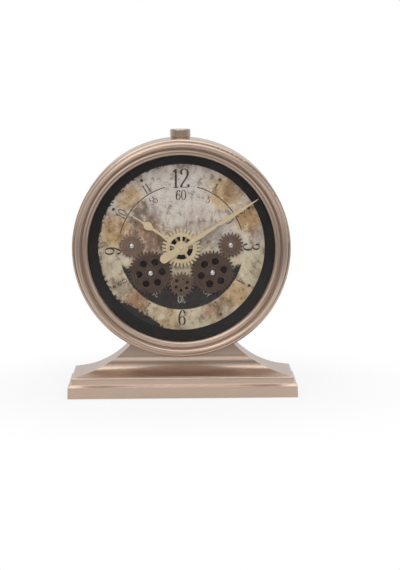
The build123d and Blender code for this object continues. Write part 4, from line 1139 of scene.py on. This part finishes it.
@dataclass
class Base(SubAssembly):
    """Slab, step, bottom plate and feet, with the plated steel that holds and drives the whole clock."""

    roughness: float = 0.18
    steel: tuple[str, ...] = (
        "bottom_plate_screws", "tie_bolts", "tie_nuts", "knob_stud", "knob_nut", "back_cover_screws",
        "dial_screws", "gear_posts", "post_nuts", "post_washers", "movement_contacts", "drive_contacts",
        "drive_motor", "drive_shaft", "minute_arbor",
    )

    def dress(self) -> None:
        """Finishes the base, the rubber and the plated steel."""
        across = bronze("bronze_base", Grain.ACROSS, (0.0, 0.0, 0.0), self.roughness)
        self.finish(across, "base_slab", "base_step")
        self.finish(COATED, "bottom_plate")
        self.finish(RUBBER, "rubber_feet", "glass_gasket")
        self.finish(PLATED, *self.steel)


@dataclass
class Plinth(SubAssembly):
    """Plinth with swept ends and a cove along front and back that turns upright under the drum."""

    end_inset_mm: float = 3.2
    end_sag_mm: float = 6.15
    neck_half_mm: float = 25.3
    cove_mm: float = 22.0
    cove_high_mm: float = 23.0
    cove_turn_deg: float = 70.0
    lip_mm: float = 0.6
    seat_gap_mm: float = 0.1
    sharp_deg: float = 25.0
    merge_mm: float = 0.001
    roughness: float = 0.23
    steps: int = 36
    overs: int = 13
    under: float = field(init=False)
    foot: float = field(init=False)
    head: float = field(init=False)
    foot_half: float = field(init=False)
    head_half: float = field(init=False)
    drum_z: float = field(init=False)
    seat: float = field(init=False)

    def __post_init__(self) -> None:
        """Takes the heights and the drum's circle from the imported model, in millimetres."""
        low, high = (np.array(corner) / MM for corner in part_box("plinth_saddle"))
        drum_low, drum_high = (np.array(corner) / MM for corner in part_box("drum_shell"))
        self.under, self.head = low[2], high[2]
        self.foot = self.under + self.lip_mm
        self.drum_z = (drum_low[2] + drum_high[2]) / 2
        self.seat = (drum_high[0] - drum_low[0]) / 2 + self.seat_gap_mm
        self.head_half = math.sqrt(self.seat**2 - (self.drum_z - self.head) ** 2)
        self.foot_half = high[0] - self.end_inset_mm

    def width(self, z: np.ndarray) -> np.ndarray:
        """Half width at a height: the circle through foot and head that dips inward by the sag between them.

        Args:
            z: Heights.

        Returns:
            Half widths.
        """
        foot, head = np.array((self.foot_half, self.foot)), np.array((self.head_half, self.head))
        chord = head - foot
        run = np.linalg.norm(chord)
        radius = (run**2 / 4 + self.end_sag_mm**2) / (2 * self.end_sag_mm)
        inward = np.array((-chord[1], chord[0])) / run
        centre = (foot + head) / 2 - inward * (radius - self.end_sag_mm)
        return centre[0] - np.sqrt(radius**2 - (z - centre[1]) ** 2)

    def depth(self, z: np.ndarray) -> np.ndarray:
        """Half depth at a height: upright at the neck, then an arc, then its tangent down to the foot.

        Args:
            z: Heights.

        Returns:
            Half depths.
        """
        turn = math.radians(self.cove_turn_deg)
        below = np.clip(self.foot + self.cove_high_mm - z, 0.0, self.cove_high_mm)
        bent = np.minimum(below, self.cove_mm * math.sin(turn))
        arc = self.cove_mm - np.sqrt(self.cove_mm**2 - bent**2)
        return self.neck_half_mm + arc + (below - bent) * math.tan(turn)

    @staticmethod
    def sheet(x: np.ndarray, y: np.ndarray, z: np.ndarray) -> Patch:
        """Grid of points joined into four-sided faces.

        Args:
            x: Places to the right, in rows and columns.
            y: Places to the back.
            z: Heights.

        Returns:
            Points in metres and faces.
        """
        points = np.stack(np.broadcast_arrays(x, y, z), axis=-1)
        return points.reshape(-1, 3) * MM, grid_faces(*points.shape[:2])

    def patches(self) -> list[Patch]:
        """Front, back, ends, saddle and underside.

        Front and back run from the foot up to the drum's circle or the ends' sweep, whichever is there, at
        the depth of each height. The ends run across the depth at the width of each height.

        Returns:
            The patches.
        """
        rise = np.linspace(self.foot, self.head, self.steps + 1)
        inner = np.linspace(-self.head_half, self.head_half, 2 * self.steps + 1)
        arch = self.drum_z - np.sqrt(self.seat**2 - inner**2)
        outer = self.width(rise)
        across = np.concatenate((-outer[:-1], inner, outer[-2::-1]))
        crown = np.concatenate((rise[:-1], arch, rise[-2::-1]))
        share = np.linspace(0.0, 1.0, self.steps + 1)[:, None]
        lip = np.full((1, len(across)), self.under)
        up = np.vstack((lip, self.foot + (crown - self.foot) * share))
        over = np.linspace(-1.0, 1.0, self.overs)
        side = np.concatenate(((self.under,), rise))[:, None]
        made = [self.sheet(across, sign * self.depth(up), up) for sign in (-1, 1)]
        end = self.width(np.maximum(side, self.foot))
        made += [self.sheet(sign * end, over * self.depth(side), side) for sign in (-1, 1)]
        made.append(self.sheet(inner[:, None], over * self.depth(arch)[:, None], arch[:, None]))
        made.append(self.sheet(across[:, None], over * self.depth(self.under), self.under))
        return made

    def dress(self) -> None:
        """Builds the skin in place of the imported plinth."""
        across = bronze("bronze_plinth", Grain.ACROSS, (0.0, 0.0, 0.0), self.roughness)
        self.finish(across, "plinth_saddle")
        material = self.nodes["plinth_saddle"].data.materials[0]
        skin = add_piece("plinth_skin", self.patches(), material)
        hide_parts("plinth_saddle")
        work = bmesh.new()
        work.from_mesh(skin.data)
        bmesh.ops.remove_doubles(work, verts=work.verts, dist=self.merge_mm * MM)
        bmesh.ops.recalc_face_normals(work, faces=work.faces)
        work.to_mesh(skin.data)
        work.free()
        skin.data.shade_smooth()
        skin.data.set_sharp_from_angle(angle=math.radians(self.sharp_deg))


@dataclass
class Drum(SubAssembly):
    """Shell, bezel, glass, back cover and top knob."""

    roughness: float = 0.22
    bezel_roughness: float = 0.3

    def dress(self) -> None:
        """Finishes the drum. The glass casts no shadow, so that light reaches the dial."""
        axis = middle_mm("glass")
        turned = bronze("bronze_drum", Grain.TURNED, axis, self.roughness)
        self.finish(turned, "drum_shell", "carrier_ring")
        soft = bronze("bronze_bezel", Grain.TURNED, axis, self.bezel_roughness)
        self.finish(soft, "bezel")
        upright = bronze("bronze_knob", Grain.UPRIGHT, middle_mm("top_knob"), self.roughness)
        self.finish(upright, "top_knob", "knob_collar")
        self.finish(COATED, "back_cover")
        self.finish(BLACK_RING, "dial_surround", "movement_washer")
        self.finish(ClearGlass(), "glass")
        self.nodes["glass"].visible_shadow = False


def on_dial(bearing_deg: float, radius_mm: float) -> Flat:
    """Place on the dial at a bearing clockwise from the top."""
    angle = math.radians(bearing_deg)
    return (radius_mm * MM * math.sin(angle), radius_mm * MM * math.cos(angle))


@dataclass(frozen=True)
class Numeral:
    """Number on the dial: its bearing and distance from the middle, its height and its clockwise turn."""

    text: str
    bearing_deg: float
    radius_mm: float
    height_mm: float
    lean_deg: float

    def draw(self, lettering: Lettering) -> list[Patch]:
        """Its strokes and round ends in a lettering."""
        place = on_dial(self.bearing_deg, self.radius_mm)
        return lettering.word(self.text, self.height_mm * MM, place, self.lean_deg)


@dataclass(frozen=True)
class NumberRing:
    """Ring of numbers on the dial, each turned with its bearing."""

    numbers: tuple[int, ...]
    step_deg: float
    radius_mm: float
    height_mm: float

    def numerals(self) -> tuple[Numeral, ...]:
        """The numbers, each at its own multiple of the step."""
        placed = ((str(number), self.step_deg * number) for number in self.numbers)
        return tuple(Numeral(text, turn, self.radius_mm, self.height_mm, turn) for text, turn in placed)


@dataclass
class Dial(SubAssembly):
    """Dial board with its printed numerals, dots and broken circle."""

    lift_mm: float = -0.5
    rise_mm: float = 0.05
    sink_mm: float = 0.03
    large: tuple[Numeral, ...] = (
        Numeral("12", 0.0, 85.0, 22.8, 0.0),
        Numeral("3", 90.0, 85.8, 19.2, 90.0),
        Numeral("6", 180.0, 86.4, 18.5, 0.0),
        Numeral("9", 267.5, 84.0, 19.2, 270.0),
        Numeral("60", 0.0, 64.6, 12.0, 0.0),
    )
    fine_thick: float = 0.135
    fine_thin: float = 0.055
    hours: NumberRing = NumberRing((1, 2, 4, 5, 7, 8, 10, 11), step_deg=30.0, radius_mm=83.9, height_mm=11.5)
    minutes: NumberRing = NumberRing(
        (5, 10, 15, 20, 40, 45, 50, 55), step_deg=6.0, radius_mm=67.2, height_mm=9.0
    )
    low_minutes: NumberRing = NumberRing((25, 30, 35), step_deg=6.0, radius_mm=63.8, height_mm=9.0)
    dot_mm: float = 2.0
    dot_at_mm: float = 95.4
    circle_mm: float = 76.5
    circle_line_mm: float = 1.2
    arcs_deg: tuple[tuple[float, float], ...] = ((-76.0, -15.0), (15.0, 74.0))
    arc_points: int = 90
    ink: WornInk = WornInk("dial_ink", (0.020, 0.017, 0.016), (0.24, 0.19, 0.15))
    faded: WornInk = WornInk("dial_faded_ink", (0.026, 0.02, 0.016), (0.27, 0.21, 0.15), (0.45, 0.59))
    pale: WornInk = WornInk("dial_pale_ink", (0.40, 0.37, 0.33), (0.03, 0.026, 0.024), (0.48, 0.62))

    def dress(self) -> None:
        """Finishes the board and prints it."""
        axis, dial = middle_mm("glass"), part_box("dial_plate")
        front = dial[0][1]
        centre = axis[2] + self.lift_mm
        wheels = tuple((x, z - centre) for x, _, z in (middle_mm("left_wheel"), middle_mm("right_wheel")))
        self.finish(AgedDial((axis[0], front / MM, centre), wheels), "dial_plate")
        middle = (axis[0] * MM, front, centre * MM)
        face = Face(middle, (1.0, 0.0, 0.0), (0.0, 0.0, 1.0), (0.0, -1.0, 0.0))
        self.print_on(Pen(face, self.rise_mm * MM, self.sink_mm * MM))

    def print_on(self, pen: Pen) -> None:
        """Draws the print.

        Args:
            pen: The pen, set on the dial's face.
        """
        bold, fine = Lettering(pen), Lettering(pen, self.fine_thick, self.fine_thin)
        hours = self.hours.numerals()
        large, small, dark, light = (
            [patch for numeral in numerals for patch in numeral.draw(lettering)]
            for lettering, numerals in (
                (bold, self.large),
                (fine, hours),
                (fine, self.minutes.numerals()),
                (fine, self.low_minutes.numerals()),
            )
        )
        places = (np.array(on_dial(hour.bearing_deg, self.dot_at_mm)) for hour in hours)
        dots = [pen.spot(place, self.dot_mm * MM) for place in places]
        circle = [self.arc(pen, *ends) for ends in self.arcs_deg]
        ink, faded, pale = (kind.material() for kind in (self.ink, self.faded, self.pale))
        for name, patches, material in (
            ("large_numerals", large, ink),
            ("hour_numerals", small, faded),
            ("hour_dots", dots, ink),
            ("minute_numerals", dark, faded),
            ("low_minute_numerals", light, pale),
            ("printed_circle", circle, ink),
        ):
            add_piece(name, patches, material)

    def arc(self, pen: Pen, start_deg: float, end_deg: float) -> Patch:
        """Stretch of the printed circle: the ribbon carried along sine and cosine of the bearing.

        Args:
            pen: The pen, set on the dial's face.
            start_deg: Bearing of its start.
            end_deg: Bearing of its end.

        Returns:
            The patch.
        """
        angle = np.radians(np.linspace(start_deg, end_deg, self.arc_points))
        path = self.circle_mm * MM * np.column_stack((np.sin(angle), np.cos(angle)))
        return pen.ribbon(path, np.full(self.arc_points, self.circle_line_mm * MM / 2), False)


@dataclass
class Train(SubAssembly):
    """Wheels on the dial and the caps of their posts."""

    # Brightness of each wheel's copy of the one brown paint: the lighter idlers and pinion are painted light.
    tones: tuple[tuple[str, float], ...] = (
        ("left_wheel", 1.0),
        ("right_wheel", 1.0),
        ("left_idler", 2.3),
        ("right_idler", 1.6),
        ("drive_pinion", 1.6),
    )
    brown: Colour = (0.079, 0.050, 0.037)
    brown_dull: Colour = (0.038, 0.022, 0.015)
    # Lighter edge colour of the wheels: rubbed wear and a painted highlight.
    brown_rubbed: Colour = (0.27, 0.2, 0.155)

    def dress(self) -> None:
        """Finishes the wheels, each with rings about its own axis and its own copy of the brown, made lighter
        by its tone as painted light.
        """
        browns = (self.brown, self.brown_dull, self.brown_rubbed)
        for name, light_tone in self.tones:
            shades = (tuple(light_tone * part for part in shade) for shade in browns)
            brown = BrushedMetal(
                f"brown_{name}", *shades, grain=Grain.TURNED, centre_mm=middle_mm(name),
                metallic=0.4, roughness=0.38, cloud_mm=9.0, edge_mm=0.45,
            )
            self.finish(brown, name)
        bright = BrushedMetal(
            "bright_caps", colour=(0.82, 0.81, 0.79), dull=(0.7, 0.69, 0.67), rubbed=(0.9, 0.9, 0.88),
            roughness=0.1,
        )
        self.finish(bright, "post_caps")


@dataclass
class Hands(SubAssembly):
    """Hands and the open wheels that turn with the hour hand."""

    def dress(self) -> None:
        """Finishes the hands."""
        axis = middle_mm("glass")
        gold = BrushedMetal(
            "pale_gold", colour=(0.62, 0.50, 0.32), dull=(0.47, 0.36, 0.21), rubbed=(0.84, 0.73, 0.52),
            grain=Grain.TURNED, centre_mm=axis, metallic=0.4, roughness=0.36, cloud_mm=14.0, edge_mm=0.3,
        )
        self.finish(gold, "hour_gear", "hour_hand", "hour_rivets", "minute_hand", "hand_nut")
        # Darker copy of the pale gold for the wheel behind the hour wheel: painted shade.
        shaded = BrushedMetal(
            "shaded_gold", colour=(0.34, 0.27, 0.16), dull=(0.25, 0.19, 0.1), rubbed=(0.45, 0.37, 0.24),
            grain=Grain.TURNED, centre_mm=axis, metallic=0.65, roughness=0.4,
        )
        self.finish(shaded, "hour_back_wheel")


@dataclass
class Works(SubAssembly):
    """Movement and geared drive behind the dial, with the marks of their cells' ends."""

    mark_mm: float = 5.0
    mark_line: float = 0.16
    mark_off_mm: float = 20.0
    mark_over_cell_mm: float = 11.5
    mark_rise_mm: float = 0.25
    mark_sink_mm: float = 0.1
    brass: tuple[str, ...] = (
        "movement_bush", "movement_nut", "drive_bush", "drive_nut", "motor_pinion", "hour_pipe",
    )

    def dress(self) -> None:
        """Finishes the two modules and marks their cells' ends."""
        self.finish(BLACK_PLASTIC, "movement_case", "movement_lid", "drive_case", "drive_lid", "set_knob")
        self.finish(NATURAL_PLASTIC, "minute_wheel", "reduction_gear")
        self.finish(TURNED_BRASS, *self.brass)
        self.finish(CellSleeve(), "movement_cell", "drive_cell")
        self.finish(WoundCoil(middle_mm("stepper_coil")), "stepper_coil")
        patches = self.marks("movement_lid", "movement_cell") + self.marks("drive_lid", "drive_cell")
        add_piece("cell_end_marks", patches, BLACK_PLASTIC.material())

    def marks(self, lid: str, cell: str) -> list[Patch]:
        """Plus and minus raised on a lid over the ends of its cell, to be read from behind.

        Args:
            lid: The lid's node.
            cell: The cell's node.

        Returns:
            The patches.
        """
        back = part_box(lid)[1][1]
        height = (middle_mm(cell)[2] + self.mark_over_cell_mm) * MM
        face = Face((0.0, back, height), (-1.0, 0.0, 0.0), (0.0, 0.0, 1.0), (0.0, 1.0, 0.0))
        pen = Pen(face, self.mark_rise_mm * MM, self.mark_sink_mm * MM)
        even = Lettering(pen, self.mark_line, self.mark_line)
        plus = even.word("+", self.mark_mm * MM, (-self.mark_off_mm * MM, 0.0), 0.0)
        return plus + even.word("-", self.mark_mm * MM, (self.mark_off_mm * MM, 0.0), 0.0)


@dataclass(frozen=True)
class Lamp:
    """Soft box: where it is, where it points, its size and power, and whether metal shows it."""

    name: str
    place: Place
    aim: Place
    width: float
    height: float
    power: float
    in_metal: bool = True

    def build(self) -> None:
        """Adds the lamp."""
        data = bpy.data.lights.new(self.name, "AREA")
        data.shape = "RECTANGLE"
        data.size, data.size_y, data.energy = self.width, self.height, self.power
        lamp = bpy.data.objects.new(self.name, data)
        lamp.visible_glossy = lamp.visible_transmission = self.in_metal
        lamp.location = self.place
        lamp.rotation_euler = (Vector(self.aim) - Vector(self.place)).to_track_quat("-Z", "Y").to_euler()
        bpy.context.scene.collection.objects.link(lamp)


@dataclass(frozen=True)
class Studio:
    """Pale table, white surroundings with a dim room in front, and soft boxes."""

    table_half: float = 2.5
    table_front: float = 0.3
    table_grey: float = 0.62
    shadow_reach: Ramp = (0.14, 0.38)
    shadow_white: float = 0.82
    fill_level: float = 0.5
    front_level: float = 0.13
    side_level: float = 0.42
    back_level: float = 0.75
    top_level: float = 1.12
    band_level: float = 1.05
    front_to_side: Ramp = (-0.85, 0.0)
    side_to_back: Ramp = (0.0, 0.5)
    top_from: Ramp = (0.66, 0.96)
    band_foot: Ramp = (-0.02, 0.06)
    band_head: Ramp = (0.46, 0.36)
    band_ahead: Ramp = (-0.3, -0.6)
    lamps: tuple[Lamp, ...] = (
        Lamp(
            "front_box", (0.2, -2.2, 1.2), (0.0, 0.0, 0.18),
            width=2.0, height=1.6, power=66.0, in_metal=False,
        ),
        Lamp("key_box", (-1.1, -1.7, 1.9), (0.0, 0.0, 0.2), width=1.3, height=1.3, power=10.0),
        Lamp("top_box", (0.0, -0.2, 1.9), (0.0, 0.0, 0.2), width=2.4, height=1.4, power=8.0),
    )

    def build(self) -> None:
        """Adds surroundings, table and lamps."""
        self.world()
        self.table()
        for lamp in self.lamps:
            lamp.build()

    def world(self) -> None:
        """White to the camera and through glass, a room with a dim front to metal, else an even fill."""
        world = bpy.data.worlds.new("studio")
        world.use_nodes = True
        bpy.context.scene.world = world
        bench = Bench(world.node_tree)
        _, y, z = bench.split(bench.node("ShaderNodeTexCoord").outputs["Generated"])
        ahead = bench.span(y, *self.front_to_side, self.front_level, self.side_level)
        behind = bench.span(y, *self.side_to_back, 0.0, self.back_level - self.side_level)
        room = bench.between(bench.span(z, *self.top_from), bench.calc("ADD", ahead, behind), self.top_level)
        band = bench.calc("MULTIPLY", bench.span(z, *self.band_foot), bench.span(z, *self.band_head))
        band = bench.calc("MULTIPLY", band, bench.span(y, *self.band_ahead, 0.0, self.band_level))
        room = bench.calc("MAXIMUM", room, band)
        light = bench.between(bench.mirrored(), self.fill_level, room)
        shown = bench.between(bench.seen(), light, 1.0)
        backdrop = world.node_tree.nodes["Background"]
        bench.wire((1.0, 1.0, 1.0), backdrop.inputs["Color"])
        bench.wire(shown, backdrop.inputs["Strength"])

    def table(self) -> None:
        """Level table that shows white and keeps a faint shadow round the clock."""
        half, front = self.table_half, -self.table_front
        mesh = bpy.data.meshes.new("table")
        corners = [(-half, front, 0), (half, front, 0), (half, half, 0), (-half, half, 0)]
        mesh.from_pydata(corners, [], [(0, 1, 2, 3)])
        table = bpy.data.objects.new("table", mesh)
        bpy.context.scene.collection.objects.link(table)
        material = bpy.data.materials.new("pale_table")
        material.use_nodes = True
        mesh.materials.append(material)
        bench = Bench(material.node_tree)
        material.node_tree.nodes.clear()
        x, y, _ = bench.split(bench.node("ShaderNodeTexCoord").outputs["Object"])
        white = bench.span(bench.length(x, y), *self.shadow_reach, self.shadow_white, 1.0)
        share = bench.calc("MULTIPLY", bench.seen(), white)
        kinds = ("BsdfDiffuse", "Emission", "MixShader")
        plain, glow, both = (bench.node(f"ShaderNode{kind}") for kind in kinds)
        bench.wire((self.table_grey,) * 3, plain.inputs["Color"])
        bench.put(both, share, plain.outputs[0], glow.outputs[0])
        bench.wire(both.outputs[0], bench.node("ShaderNodeOutputMaterial").inputs["Surface"])


@dataclass(frozen=True)
class View:
    """Camera at the photograph's viewing angle."""

    eye: Place = (0.0, -2.441, 0.438)
    target: Place = (0.0, 0.0, 0.162)
    lens_mm: float = 125.95
    sensor_mm: float = 36.0
    roll: float = -0.0091
    shift: tuple[float, float] = (0.0325, -0.0414)

    def build(self) -> None:
        """Adds the camera and makes it the scene's own."""
        data = bpy.data.cameras.new("view")
        data.sensor_fit = "VERTICAL"
        data.sensor_height = self.sensor_mm
        data.lens = self.lens_mm
        data.shift_x, data.shift_y = self.shift
        camera = bpy.data.objects.new("view", data)
        camera.location = self.eye
        look = (Vector(self.target) - Vector(self.eye)).to_track_quat("-Z", "Y")
        camera.rotation_euler = (look @ Quaternion((0.0, 0.0, 1.0), self.roll)).to_euler()
        bpy.context.scene.collection.objects.link(camera)
        bpy.context.scene.camera = camera


def main() -> None:
    """Loads the frame, dresses every sub-assembly and sets the stage."""
    logging.basicConfig(level=logging.INFO, format="%(message)s")
    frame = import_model()
    bpy.context.scene.view_settings.view_transform = "Standard"
    for kind in (Base, Plinth, Drum, Dial, Train, Hands, Works):
        kind(frame["nodes"]).dress()
    Studio().build()
    View().build()


if __name__ == "__main__":
    main()
